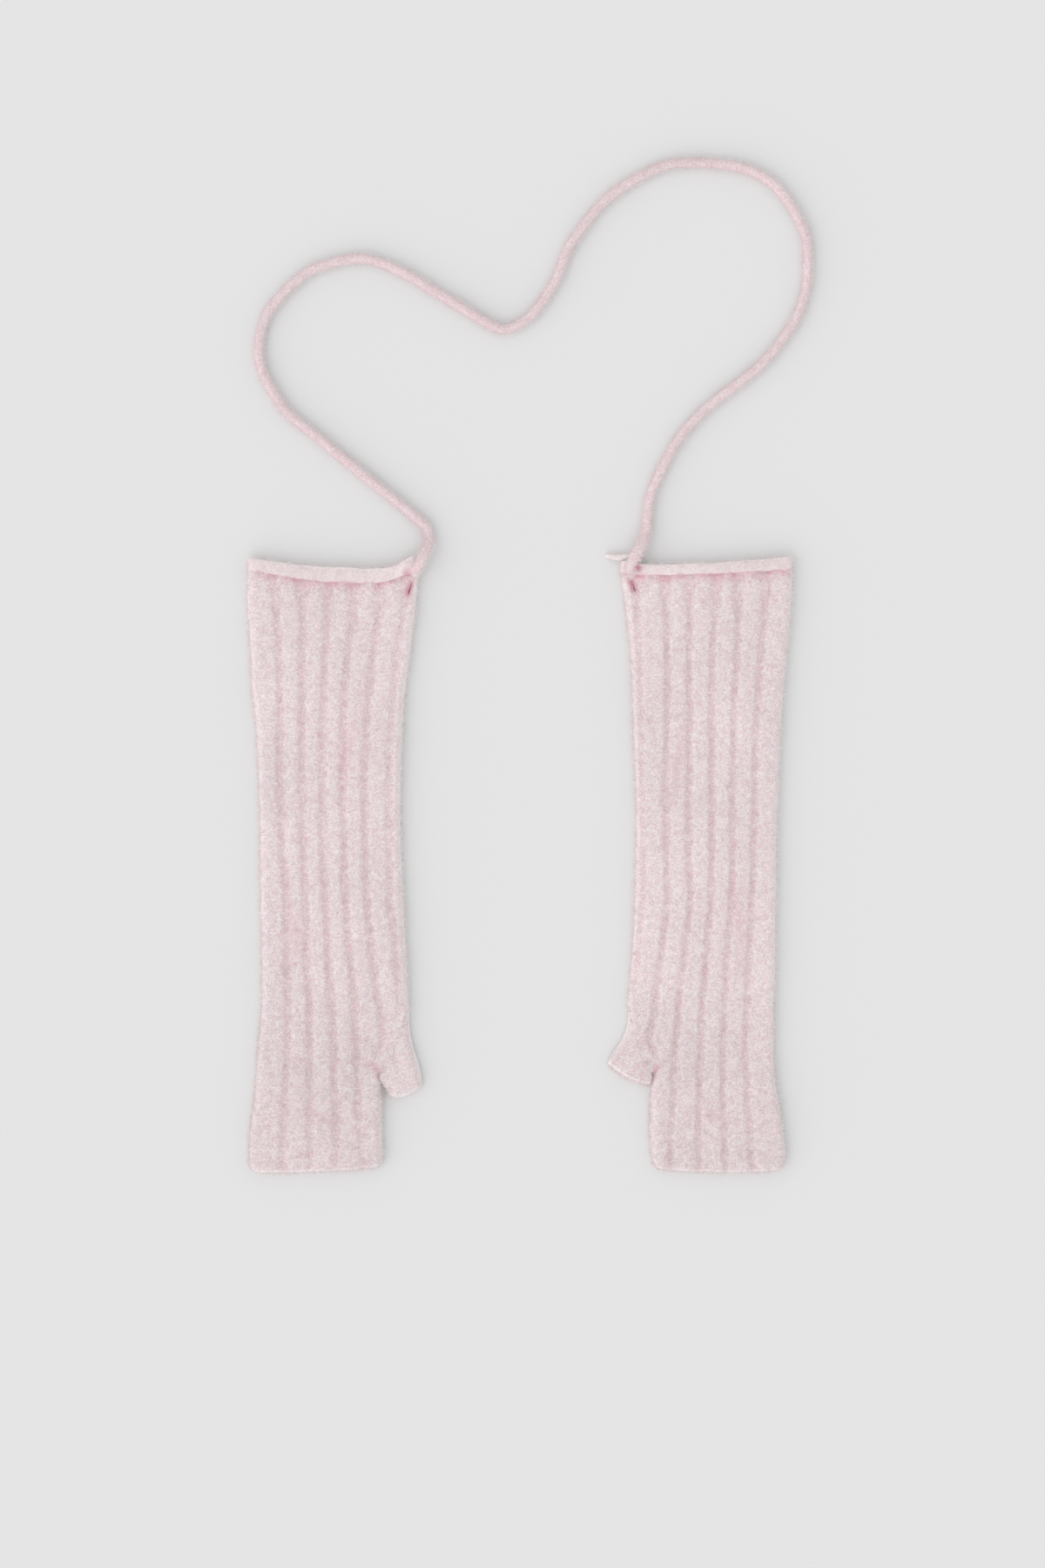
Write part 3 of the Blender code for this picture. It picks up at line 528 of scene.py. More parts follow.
# Each mitten is one tube of thick rib, knitted round and brushed, that lies flat on its back: wide soft
# ribs with narrow hollows between them, a bound-off finger edge, and an eyelet near the inner arm corner.
MITTENS = {
    "left": {
        "side": -1,
        "seed": 100,
        "groove_half": 0.0025,
        "outline": [
            (-0.1820, 0.1600, 0.0815), (-0.1740, 0.1605, 0.0815), (-0.1585, 0.1600, 0.0820),
            (-0.1430, 0.1580, 0.0820), (-0.1325, 0.1570, 0.0820), (-0.1235, 0.1565, 0.0820),
            (-0.1180, 0.1560, 0.0765), (-0.1095, 0.1555, 0.0695), (-0.0965, 0.1540, 0.0670),
            (-0.0810, 0.1530, 0.0665), (-0.0655, 0.1530, 0.0670), (-0.0345, 0.1535, 0.0685),
            (0.0275, 0.1545, 0.0710), (0.0740, 0.1560, 0.0700), (0.1045, 0.1590, 0.0680),
            (0.1280, 0.1600, 0.0650), (0.1510, 0.1615, 0.0620), (0.1745, 0.1615, 0.0600),
        ],
        "grooves": [
            (-0.1820, 0.1405, 0.1240, 0.1088, 0.0932, 0.0893, 0.0854),
            (-0.1560, 0.1400, 0.1242, 0.1090, 0.0945, 0.0902, 0.0860),
            (-0.1300, 0.1386, 0.1243, 0.1100, 0.0961, 0.0912, 0.0864),
            (-0.1170, 0.1380, 0.1244, 0.1103, 0.0967, 0.0868, 0.0815),
            (-0.1040, 0.1378, 0.1247, 0.1104, 0.0969, 0.0818, 0.0742),
            (-0.0780, 0.1378, 0.1250, 0.1121, 0.0981, 0.0838, 0.0716),
            (-0.0520, 0.1381, 0.1263, 0.1139, 0.1008, 0.0876, 0.0738),
            (-0.0200, 0.1383, 0.1270, 0.1155, 0.1036, 0.0907, 0.0766),
            (0.0120, 0.1404, 0.1283, 0.1163, 0.1040, 0.0917, 0.0774),
            (0.0500, 0.1419, 0.1293, 0.1172, 0.1051, 0.0921, 0.0775),
            (0.0890, 0.1422, 0.1290, 0.1166, 0.1043, 0.0904, 0.0760),
            (0.1280, 0.1430, 0.1285, 0.1147, 0.1014, 0.0863, 0.0720),
            (0.1540, 0.1447, 0.1291, 0.1137, 0.0985, 0.0833, 0.0680),
            (0.1745, 0.1458, 0.1294, 0.1133, 0.0972, 0.0818, 0.0662),
        ],
        "arm_line": [(0.0, 0.1783), (0.18, 0.1754), (0.31, 0.1736), (0.63, 0.1718),
                     (0.78, 0.1717), (0.90, 0.1741), (1.0, 0.1778)],
        "finger_line": [(0.0, -0.1797), (0.025, -0.1812), (0.06, -0.1819), (0.3, -0.1820), (0.7, -0.1808),
                        (0.94, -0.1792), (0.97, -0.1786), (1.0, -0.1770)],
        "thumb": [
            (0.0660, -0.0829, 0.0812, -0.1221, 0.0), (0.0656, -0.0915, 0.0832, -0.1243, 0.0004),
            (0.0647, -0.1016, 0.0836, -0.1264, 0.0010), (0.0627, -0.1098, 0.0827, -0.1285, 0.0018),
            (0.0603, -0.1172, 0.0815, -0.1308, 0.0026), (0.0585, -0.1248, 0.0795, -0.1334, 0.0034),
            (0.0580, -0.1310, 0.0785, -0.1360, 0.0040),
        ],
        "eyelet": (0.0651, 0.1640, -0.30),
        "creases": [
            (0.0842, -0.1236, 1.25, 0.0045, 0.0014, 0.0006), (0.0870, -0.1190, 0.50, 0.0070, 0.0018, 0.0005),
            (0.0735, -0.1130, 1.10, 0.0090, 0.0022, 0.0003), (0.0760, 0.1690, 0.28, 0.0050, 0.0015, 0.0008),
            (0.1330, -0.0400, 1.40, 0.0200, 0.0035, 0.0003), (0.1010, 0.0700, 1.75, 0.0240, 0.0040, 0.0003),
            (0.1180, -0.1500, 0.30, 0.0120, 0.0030, 0.0003),
        ],
        "dent": (0.0651, 0.1638, 0.0052, 0.0021, -0.30),
        "knot": (0.0668, 0.0046, 0.0036, 0.0014),
        "roll": [(0.0, 0.0040, 0.0), (0.25, 0.0042, -0.0002), (0.45, 0.0046, -0.0006), (0.75, 0.0045, -0.0004),
                 (0.86, 0.0042, 0.0002), (0.91, 0.0046, 0.0011), (0.955, 0.0051, 0.0015), (1.0, 0.0046, 0.0006)],
        "thumb_lip": 0.0004,
        "thumb_deeper_tone": 0.44,
        "thumb_outer_fuzz_and_rim_light": 1.0,
        "dent_shade": 0.62,
        "thumb_cut": (0.084, 0.049, 0.00180),
    },
    "right": {
        "side": 1,
        "seed": 200,
        "groove_half": 0.0021,
        "outline": [
            (-0.1820, 0.1570, 0.0790), (-0.1740, 0.1575, 0.0780), (-0.1585, 0.1560, 0.0770),
            (-0.1430, 0.1540, 0.0775), (-0.1325, 0.1520, 0.0778), (-0.1235, 0.1510, 0.0780),
            (-0.1180, 0.1505, 0.0720), (-0.1095, 0.1505, 0.0665), (-0.0965, 0.1505, 0.0640),
            (-0.0810, 0.1505, 0.0640), (-0.0655, 0.1510, 0.0655), (-0.0345, 0.1515, 0.0675),
            (0.0275, 0.1525, 0.0690), (0.0740, 0.1545, 0.0675), (0.1045, 0.1565, 0.0665),
            (0.1280, 0.1585, 0.0653), (0.1510, 0.1608, 0.0625), (0.1745, 0.1615, 0.0595),
        ],
        "grooves": [
            (-0.1820, 0.1380, 0.1215, 0.1057, 0.0890, 0.0856, 0.0822),
            (-0.1560, 0.1360, 0.1208, 0.1056, 0.0893, 0.0856, 0.0818),
            (-0.1300, 0.1345, 0.1203, 0.1060, 0.0910, 0.0865, 0.0822),
            (-0.1170, 0.1338, 0.1204, 0.1065, 0.0915, 0.0822, 0.0768),
            (-0.1040, 0.1336, 0.1205, 0.1071, 0.0922, 0.0774, 0.0712),
            (-0.0780, 0.1348, 0.1215, 0.1083, 0.0946, 0.0805, 0.0684),
            (-0.0520, 0.1358, 0.1228, 0.1104, 0.0976, 0.0842, 0.0696),
            (-0.0200, 0.1372, 0.1252, 0.1130, 0.1006, 0.0872, 0.0726),
            (0.0120, 0.1387, 0.1262, 0.1135, 0.1002, 0.0867, 0.0726),
            (0.0500, 0.1393, 0.1264, 0.1136, 0.1003, 0.0866, 0.0722),
            (0.0890, 0.1401, 0.1269, 0.1139, 0.1005, 0.0869, 0.0712),
            (0.1280, 0.1427, 0.1286, 0.1141, 0.1004, 0.0873, 0.0706),
            (0.1540, 0.1451, 0.1292, 0.1155, 0.1005, 0.0866, 0.0695),
            (0.1745, 0.1462, 0.1296, 0.1160, 0.1006, 0.0862, 0.0688),
        ],
        "arm_line": [(0.0, 0.1787), (0.25, 0.1772), (0.49, 0.1761), (0.85, 0.1754),
                     (0.92, 0.1758), (1.0, 0.1766)],
        "finger_line": [(0.0, -0.1780), (0.03, -0.1799), (0.06, -0.1807), (0.3, -0.1818), (0.7, -0.1815),
                        (0.93, -0.1800), (0.97, -0.1792), (1.0, -0.1776)],
        "thumb": [
            (0.0641, -0.0827, 0.0773, -0.1223, 0.0), (0.0641, -0.0903, 0.0781, -0.1240, 0.0006),
            (0.0628, -0.0975, 0.0785, -0.1253, 0.0014), (0.0601, -0.1037, 0.0786, -0.1266, 0.0024),
            (0.0565, -0.1093, 0.0784, -0.1278, 0.0034), (0.0534, -0.1140, 0.0780, -0.1290, 0.0043),
            (0.0520, -0.1178, 0.0775, -0.1299, 0.0050),
        ],
        "eyelet": (0.0669, 0.1657, -0.36),
        "creases": [
            (0.0795, -0.1240, 1.35, 0.0065, 0.0012, 0.0008), (0.0822, -0.1200, 0.85, 0.0055, 0.0012, 0.0005),
            (0.0700, -0.1080, 0.95, 0.0080, 0.0022, 0.0003), (0.0830, 0.1692, -0.12, 0.0080, 0.0013, 0.0006),
            (0.1290, -0.0300, 1.65, 0.0220, 0.0040, 0.0003), (0.0940, 0.0600, 1.45, 0.0200, 0.0035, 0.0003),
            (0.1120, -0.1480, -0.25, 0.0130, 0.0030, 0.0003),
        ],
        "dent": (0.0669, 0.1656, 0.0044, 0.0021, -0.36),
        "knot": (0.0698, 0.0030, -0.0012, -0.0014),
        "roll": [(0.0, 0.0041, 0.0), (0.25, 0.0037, -0.0004), (0.50, 0.0034, -0.0007), (0.84, 0.0033, -0.0008),
                 (0.93, 0.0036, -0.0004), (1.0, 0.0040, 0.0)],
        "thumb_lip": 0.0022,
        "thumb_deeper_tone": 0.47,
        "thumb_outer_fuzz_and_rim_light": 0.5,
        "dent_shade": 1.1,
        "thumb_cut": (0.084, 0.038, 0.00150),
    },
}
WALL = 0.0030
LAYER_GAP = 0.0004
MIDDLE = WALL + LAYER_GAP / 2
GROOVE_TOP = 2 * WALL + LAYER_GAP
RIB_RISE = 0.0012
EDGE_HEIGHT = 0.0011
TOP_ROUNDING = 0.0046
FOLD_FULLNESS = 2.4
UNDER_ROUNDING = 0.0036
HOLLOW_ROUNDING = 0.0020
FIFTH_GROOVE = (-0.122, -0.104)
SIXTH_GROOVE = (-0.104, -0.065)
ARM_LINE_FROM = 0.105
ARM_LINE_FULL = 0.172
FINGER_LINE_FROM = -0.150
FINGER_LINE_FULL = -0.182
ROLL_LAP = 0.0009
THUMB_LAP = 0.0003
ROW_STEP = 0.00085
FOLD_COLUMNS = 9
FOLD_REACH = 0.0060
TOP_COLUMNS = 88
UNDER_COLUMNS = 26
HOLLOW_COLUMNS = 24
RIM_RELIEF = (0.8, 0.1)
HOLLOW_ROW_STEP = 0.0040
FINGER_LIP = 0.0018
FINGER_LIP_THINNING = 0.0022
CREASE_FULL = 0.0014
KNIT_ROW = 0.0019
KNIT_ROW_RELIEF = 0.00010
FRONT_SWELLS = [(0.00040, 0.034, 0.046), (0.00020, 0.012, 0.016)]
FRONT_LUMPS = [(0.00013, 0.0019, 0.0023), (0.00008, 0.0009, 0.0010)]
ARM_DIP = 0.0004
ARM_DIP_REACH = 0.0028
EDGE_WAVE = 0.00025
EDGE_WAVE_REACH = 0.005
LIP_DRAWN_IN = 0.45
# The pale rim is weaker on the lamp side; on the side away from the lamp it is painted light as well as nap.
LAMP_SIDE_RIM_SHARE = 0.35
FINGER_EDGE_FUZZ = 0.45
ROLL_SHADE = 0.0075
EYELET_HALF_LENGTH = 0.0042
EYELET_HALF_WIDTH = 0.00035
EYELET_CORNERS = 24
CUT_BEYOND = 0.0006
CUT_REACH = 0.020
CUT_LOW = -0.005
CUT_HIGH = 0.015


def follow(table, at):
    """Reads a table as smooth curves: the columns after the first, at each value of the first."""
    table = np.array(table)
    at = np.clip(np.asarray(at, float), table[0, 0], table[-1, 0])
    shape = at.shape
    at = at.ravel()
    i = np.clip(np.searchsorted(table[:, 0], at, side="right") - 1, 0, len(table) - 2)
    before = table[np.maximum(i - 1, 0)]
    low = table[i]
    high = table[i + 1]
    after = table[np.minimum(i + 2, len(table) - 1)]
    span = (high - low)[:, :1]
    t = (at[:, None] - low[:, :1]) / span
    leave = span * (high - before) / (high - before)[:, :1]
    arrive = span * (after - low) / (after - low)[:, :1]
    values = eased(low, high, leave, arrive, t)
    return [values[:, c].reshape(shape) for c in range(1, table.shape[1])]


def crown(inset, reach):
    """Height share of a rounded side fold: 0 at the edge and 1 from the given reach inwards."""
    return (1 - (1 - np.clip(inset / reach, 0.0, 1.0)) ** FOLD_FULLNESS) ** (1 / FOLD_FULLNESS)


def lip_thinning(distance, reach, most):
    """How much thinner the knit gets towards a bound-off edge, at a distance from it."""
    share = np.clip(distance / reach, 0.0, 1.0)
    return most * (1 - np.sqrt(1 - (1 - share) ** 2))


def end_shift(mitten, y, share):
    """How far the lines of the arm end and the finger end move a point of the row at y."""
    arm = smooth_step(y, ARM_LINE_FROM, ARM_LINE_FULL)
    finger = smooth_step(y, FINGER_LINE_FROM, FINGER_LINE_FULL)
    half_height, raised = follow(mitten["roll"], share)
    body_end = follow(mitten["arm_line"], share)[0] + raised - half_height + ROLL_LAP
    return arm * (body_end - ARM_LINE_FULL) + finger * (follow(mitten["finger_line"], share)[0] - FINGER_LINE_FULL)


def on_hand(y):
    return 1 - smooth_step(y, -0.150, -0.095)


def ribs(mitten, x, y):
    """Height share of the rib at a distance from the middle of the pair: 0 in a hollow, 1 on a rib."""
    seed = mitten["seed"]
    near_roll = smooth_step(y, 0.146, 0.168)
    depths = [1.0, 1.0, 1.0, 1.0, smooth_step(y, *FIFTH_GROOVE), smooth_step(y, *SIXTH_GROOVE) * 0.8]
    hollow = np.zeros_like(x)
    for k, line in enumerate(follow(mitten["grooves"], y)):
        sway = (0.00040 * soft_noise(y / 0.018, k * 3.7, seed + k)
                + 0.00022 * soft_noise(y / 0.0038, k * 1.3, seed + 20))
        half = mitten["groove_half"] * (1 + 0.22 * soft_noise(y / 0.0030, k * 1.7, seed + 30 + k) + near_roll)
        half = half * (1 + 0.30 * soft_noise(x / 0.0017, y / 0.0016, seed + 60 + k))
        depth = depths[k] * (0.98 + 0.12 * soft_noise(y / 0.010, k * 2.9, seed + 40) - 0.28 * on_hand(y))
        hollow = np.maximum(hollow, depth * np.exp(-(np.abs((x - line - sway) / half) ** 3)))
    return 1.0 - hollow


def mitten_rows():
    """Rows of points from the finger edge to the arm edge, closer together at both rims."""
    count = round((ARM_LINE_FULL - FINGER_LINE_FULL) / ROW_STEP)
    even = np.linspace(FINGER_LINE_FULL, ARM_LINE_FULL, count + 1)[2:-2]
    finger_rim = FINGER_LINE_FULL + np.array([0.0, 0.00018, 0.0005, 0.0010])
    arm_rim = ARM_LINE_FULL - np.array([0.0008, 0.0003, 0.0])
    return np.concatenate([finger_rim, even[even > FINGER_LINE_FULL + 0.0013], arm_rim])


def thumb_side(mitten, y):
    """Distance of the thumb's outer edge from the middle of the pair, which the body's own edge follows."""
    edge = [(row[1], row[0]) for row in reversed(mitten["thumb"])]
    return follow(edge, y)[0]


def humps(layers, x, y, seed):
    """Adds up layers of noise, each with its height and the size of its humps across and along."""
    return sum(high * soft_noise(x / across, y / along, seed + k) for k, (high, across, along) in enumerate(layers))


def front_relief(mitten, x, y):
    """The soft unevenness of the knit's front: broad swells, rows of stitches and small lumps, less the creases and
    the dent round the eyelet. Their depth also comes back on its own, for the painted shade in them.
    """
    seed = mitten["seed"]
    swell = humps(FRONT_SWELLS, x, y, seed + 50)
    lumps = humps(FRONT_LUMPS, x, y, seed + 52)
    rows = KNIT_ROW_RELIEF * np.cos(2 * np.pi * y / KNIT_ROW + 1.5 * soft_noise(x / 0.004, y / 0.03, seed + 54))
    crease = np.zeros_like(x + y)
    for cx, cy, turn, length, half, depth in mitten["creases"]:
        u = (x - cx) * math.cos(turn) + (y - cy) * math.sin(turn)
        v = -(x - cx) * math.sin(turn) + (y - cy) * math.cos(turn)
        crease += depth * np.exp(-((u / length) ** 2) - (v / half) ** 2)
    cx, cy, length, half, tilt = mitten["dent"]
    u = (x - cx) * math.cos(tilt) - (y - cy) * math.sin(tilt)
    v = (x - cx) * math.sin(tilt) + (y - cy) * math.cos(tilt)
    crease += CREASE_FULL * np.exp(-((u / half) ** 4) - (v / length) ** 4)
    return swell + lumps + rows - crease, crease


def outline_fuzz_and_rim_light(distance, u, v, seed):
    """How far the pale nap of an outline covers the knit, from 0 to 1, at a distance from the outline. On outlines
    away from the lamp the same mask also paints light.
    """
    ragged = 0.0016 + 0.0007 * soft_noise(u / 0.0023, v / 0.0023, seed)
    return 1 - smooth_step(distance / ragged, 0.15, 1.35)


def mitten_surface(mitten):
    """The outer skin as rings of points, with the relief of each point."""
    seed = mitten["seed"]
    y = mitten_rows()[:, None]
    outer_edge, inner_edge = follow(mitten["outline"], y)
    width = outer_edge - inner_edge
    fold = FOLD_REACH * (1 - np.cos(np.linspace(0, np.pi / 2, FOLD_COLUMNS + 1)))[:-1][None, :]
    middle = FOLD_REACH + (width - 2 * FOLD_REACH) * np.linspace(0, 1, TOP_COLUMNS)[None, :]
    top = np.concatenate([np.tile(fold, (len(y), 1)), middle, width - fold[:, ::-1]], axis=1)
    under_fold = UNDER_ROUNDING * (1 - np.cos(np.linspace(0, np.pi / 2, 6)))[1:-1][None, :]
    under_middle = UNDER_ROUNDING + (width - 2 * UNDER_ROUNDING) * np.linspace(1, 0, UNDER_COLUMNS)[None, :]
    under = np.concatenate([width - under_fold, under_middle, np.tile(under_fold[:, ::-1], (len(y), 1))], axis=1)
    thinning = lip_thinning(y - FINGER_LINE_FULL, FINGER_LIP, FINGER_LIP_THINNING)
    x = outer_edge - top
    real_y = y + end_shift(mitten, y, top / width)
    rib = ribs(mitten, x, y)

    # Towards the thumb the front goes on level, up to the thumb's own edge
    root_low = mitten["thumb"][0][3]
    root_high = mitten["thumb"][0][1]
    to_thumb = smooth_step(y, root_low - 0.001, root_low + 0.003)
    to_thumb = to_thumb * (1 - smooth_step(y, root_high - 0.001, root_high + 0.003))
    inner_inset = (width - top) * (1 - to_thumb) + np.maximum(x - thumb_side(mitten, y), width - top) * to_thumb
    inset = np.minimum(top, inner_inset)

    grain, crease = front_relief(mitten, x, real_y)
    to_roll = smooth_step(y, ARM_LINE_FULL - ROLL_SHADE, ARM_LINE_FULL)
    dip = ARM_DIP * smooth_step(y, ARM_LINE_FULL - ARM_DIP_REACH, ARM_LINE_FULL)
    rise = GROOVE_TOP - EDGE_HEIGHT + RIB_RISE * (1.15 * rib - 0.15) - thinning - dip + grain
    height = EDGE_HEIGHT + rise * crown(inset, TOP_ROUNDING)
    by_edge = 1 - smooth_step(np.minimum(top, width - top), 0.0, EDGE_WAVE_REACH)
    edge_wave = EDGE_WAVE * soft_noise(y / 0.0024, (top > width / 2) * 7.3, seed + 55)
    drawn_in = LIP_DRAWN_IN * np.where(top < width / 2, thinning, -thinning)
    across = top + (edge_wave + drawn_in) * by_edge
    # Painted light: the pale rim is full on the side away from the lamp and weaker on the lamp side.
    at_left = (top < width / 2) == (mitten["side"] < 0)
    side_fuzz_and_rim_light = outline_fuzz_and_rim_light(inset, x, y, seed + 56) * np.where(at_left, LAMP_SIDE_RIM_SHARE, 1.0)
    fuzz_and_rim_light = np.maximum(side_fuzz_and_rim_light, FINGER_EDGE_FUZZ * outline_fuzz_and_rim_light(y - FINGER_LINE_FULL, x, y, seed + 56))
    # Painted shade: a blotchy deeper pink on the knit just under the roll.
    shade_under_roll = to_roll * (0.37 + 0.36 * soft_noise(x / 0.0042, y / 0.0055, seed + 57)
                       + 0.24 * soft_noise(x / 0.0013, y / 0.0015, seed + 58))
    # Painted shade: creases and the dent round the eyelet take the crease colour by their depth, and the pale rims
    # are taken off.
    shade = np.clip(np.maximum(shade_under_roll, crease / CREASE_FULL), 0, 1) - fuzz_and_rim_light
    under_inset = np.minimum(under, width - under)
    under_height = EDGE_HEIGHT * (1 - crown(under_inset, UNDER_ROUNDING))
    places = np.concatenate([across, under], axis=1)
    rings = np.stack([
        mitten["side"] * (outer_edge - places),
        np.concatenate([real_y, y + end_shift(mitten, y, under / width)], axis=1),
        np.concatenate([height, under_height], axis=1),
    ], axis=2)
    # The rib's colour goes deeper towards the roll as painted shade, and a little deeper over the hand.
    relief = np.stack([
        np.concatenate([rib * (1 - 0.35 * to_roll) - 0.20 * on_hand(y), np.full_like(under, 0.8)], axis=1),
        np.concatenate([shade, np.zeros_like(under)], axis=1),
    ], axis=2)
    return rings, relief


def both_layers(columns):
    """Shares of the way over the top layer and back along the bottom one, and 1 or -1 for the layer."""
    across = (1 - np.cos(np.linspace(0, np.pi, columns + 1))) / 2
    lift = np.concatenate([np.ones(columns + 1), -np.ones(columns - 1)])
    return np.concatenate([across, across[-2:0:-1]])[None, :], lift[None, :]


def mitten_hollow(mitten):
    """The inner skin, 3 mm inside the outer one."""
    count = round((ARM_LINE_FULL - FINGER_LINE_FULL) / HOLLOW_ROW_STEP)
    y = np.linspace(FINGER_LINE_FULL, ARM_LINE_FULL, count + 1)[:, None]
    outer_edge, inner_edge = follow(mitten["outline"], y)
    width = outer_edge - inner_edge
    share, lift = both_layers(HOLLOW_COLUMNS)
    place = WALL + (width - 2 * WALL) * share
    inset = np.minimum(place, width - place) - WALL
    rings = np.stack([
        mitten["side"] * (outer_edge - place),
        y + end_shift(mitten, y, place / width),
        MIDDLE + lift * LAYER_GAP / 2 * crown(inset, HOLLOW_ROUNDING),
    ], axis=2)
    relief = np.zeros(rings.shape[:2] + (2,))
    # Painted shade: the inside of the tube, seen through the eyelet, takes the crease colour.
    relief[:, :, 1] = 1.0
    return rings, relief


def open_tube(name, surface, hollow, material):
    """Joins an outer and an inner skin at both ends, in the shade of the rib's top."""
    bm = bmesh.new()
    outside = skin(bm, *surface)
    inside = skin(bm, *hollow)
    relief_map = bm.loops.layers.uv["relief"]
    for outer, inner in zip(outside, inside):
        made = bmesh.ops.bridge_loops(bm, edges=ring_edges(outer) + ring_edges(inner))["faces"]
        for face in made:
            for loop in face.loops:
                loop[relief_map].uv = RIM_RELIEF
    face_outwards(bm)
    return object_from(bm, name, material)


def prism(name, outline, low, high):
    """A closed block over a flat outline, between two heights."""
    bm = bmesh.new()
    base = bm.faces.new([bm.verts.new((x, y, low)) for x, y in outline])
    grown = bmesh.ops.extrude_face_region(bm, geom=[base])["geom"]
    lifted = [item for item in grown if isinstance(item, bmesh.types.BMVert)]
    bmesh.ops.translate(bm, verts=lifted, vec=(0, 0, high - low))
    face_outwards(bm)
    return object_from(bm, name)


def thumb_opening(key, mitten):
    """Trims the side fold along the thumb's root, which leaves the tube open there."""
    root = mitten["thumb"][0]
    start = Vector((root[0], root[1]))
    end = Vector((root[2], root[3]))
    out = Vector((-(start - end).y, (start - end).x)).normalized()
    if out.x > 0:
        out = -out
    beyond = (start - end).normalized() * CUT_BEYOND
    start += beyond
    end -= beyond
    corners = [start + out * THUMB_LAP, end + out * THUMB_LAP, end + out * CUT_REACH, start + out * CUT_REACH]
    return prism("thumb_opening_" + key, [(mitten["side"] * c.x, c.y) for c in corners], CUT_LOW, CUT_HIGH)


def eyelet(key, mitten):
    across, along, tilt = mitten["eyelet"]
    outline = []
    for k in range(EYELET_CORNERS):
        turn = 2 * math.pi * k / EYELET_CORNERS
        u = EYELET_HALF_WIDTH * math.cos(turn)
        v = EYELET_HALF_LENGTH * math.sin(turn)
        x = across + u * math.cos(tilt) + v * math.sin(tilt)
        y = along - u * math.sin(tilt) + v * math.cos(tilt)
        outline.append((mitten["side"] * x, y))
    return prism("eyelet_" + key, outline, MIDDLE, CUT_HIGH)


def cut_openings(made, cutters):
    for cutter in cutters:
        cut = made.modifiers.new(cutter.name, "BOOLEAN")
        cut.operation = "DIFFERENCE"
        cut.solver = "MANIFOLD"
        cut.object = cutter
    settle(made)
    made.data.set_sharp_from_angle(angle=SHARP_FROM)
    for cutter in cutters:
        bpy.data.objects.remove(cutter, do_unlink=True)


rib_knit = brushed_knit("rib_knit", YARN_PALE, YARN_PINK, YARN_DEEP_AND_HOLLOW_SHADE, YARN_LILAC, 0.0005)
bodies = {}
for key, mitten in MITTENS.items():
    body = open_tube("ribbed_body_" + key, mitten_surface(mitten), mitten_hollow(mitten), rib_knit)
    cut_openings(body, [thumb_opening(key, mitten), eyelet(key, mitten)])
    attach(body, "root")
    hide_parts("mitten_" + key)
    bodies[key] = body


# Each thumb is a short open tube, picked up round the thumb opening and bound off at its tip, in the
# same knit but with only one faint hollow along its middle.
THUMB_HOLLOW = (0.44, 0.10, 0.30)
THUMB_WEB = 0.0016
THUMB_FOLD = 2.1 * TOP_ROUNDING
THUMB_ROWS = 56
THUMB_TOP = 64
THUMB_UNDER = 24
THUMB_HOLLOW_ROWS = 15
THUMB_HOLLOW_COLUMNS = 12
THUMB_LIP = 0.30
THUMB_LIP_THINNING = 0.0020
THUMB_ROOT_WIDTH = 0.030
THUMB_SECTION_STEP = 0.0042


def thumb_plan(mitten, t, share):
    """Places between the root and the tip, a share of the way over from the outer edge to the hand, with
    their level distance from that edge, the width there, and the way that the tip pushes out."""
    ax, ay, bx, by, bow = follow([(number, *row) for number, row in enumerate(mitten["thumb"])], t)
    width = np.hypot(bx - ax, by - ay)
    push_x = mitten["side"] * (ay - by) / width
    push_y = -np.abs(ax - bx) / width
    reach = 4 * bow * share * (1 - share)
    x = mitten["side"] * (ax + (bx - ax) * share) + push_x * reach
    y = ay + (by - ay) * share + push_y * reach
    return x, y, share * (bx - ax), width, push_x, push_y


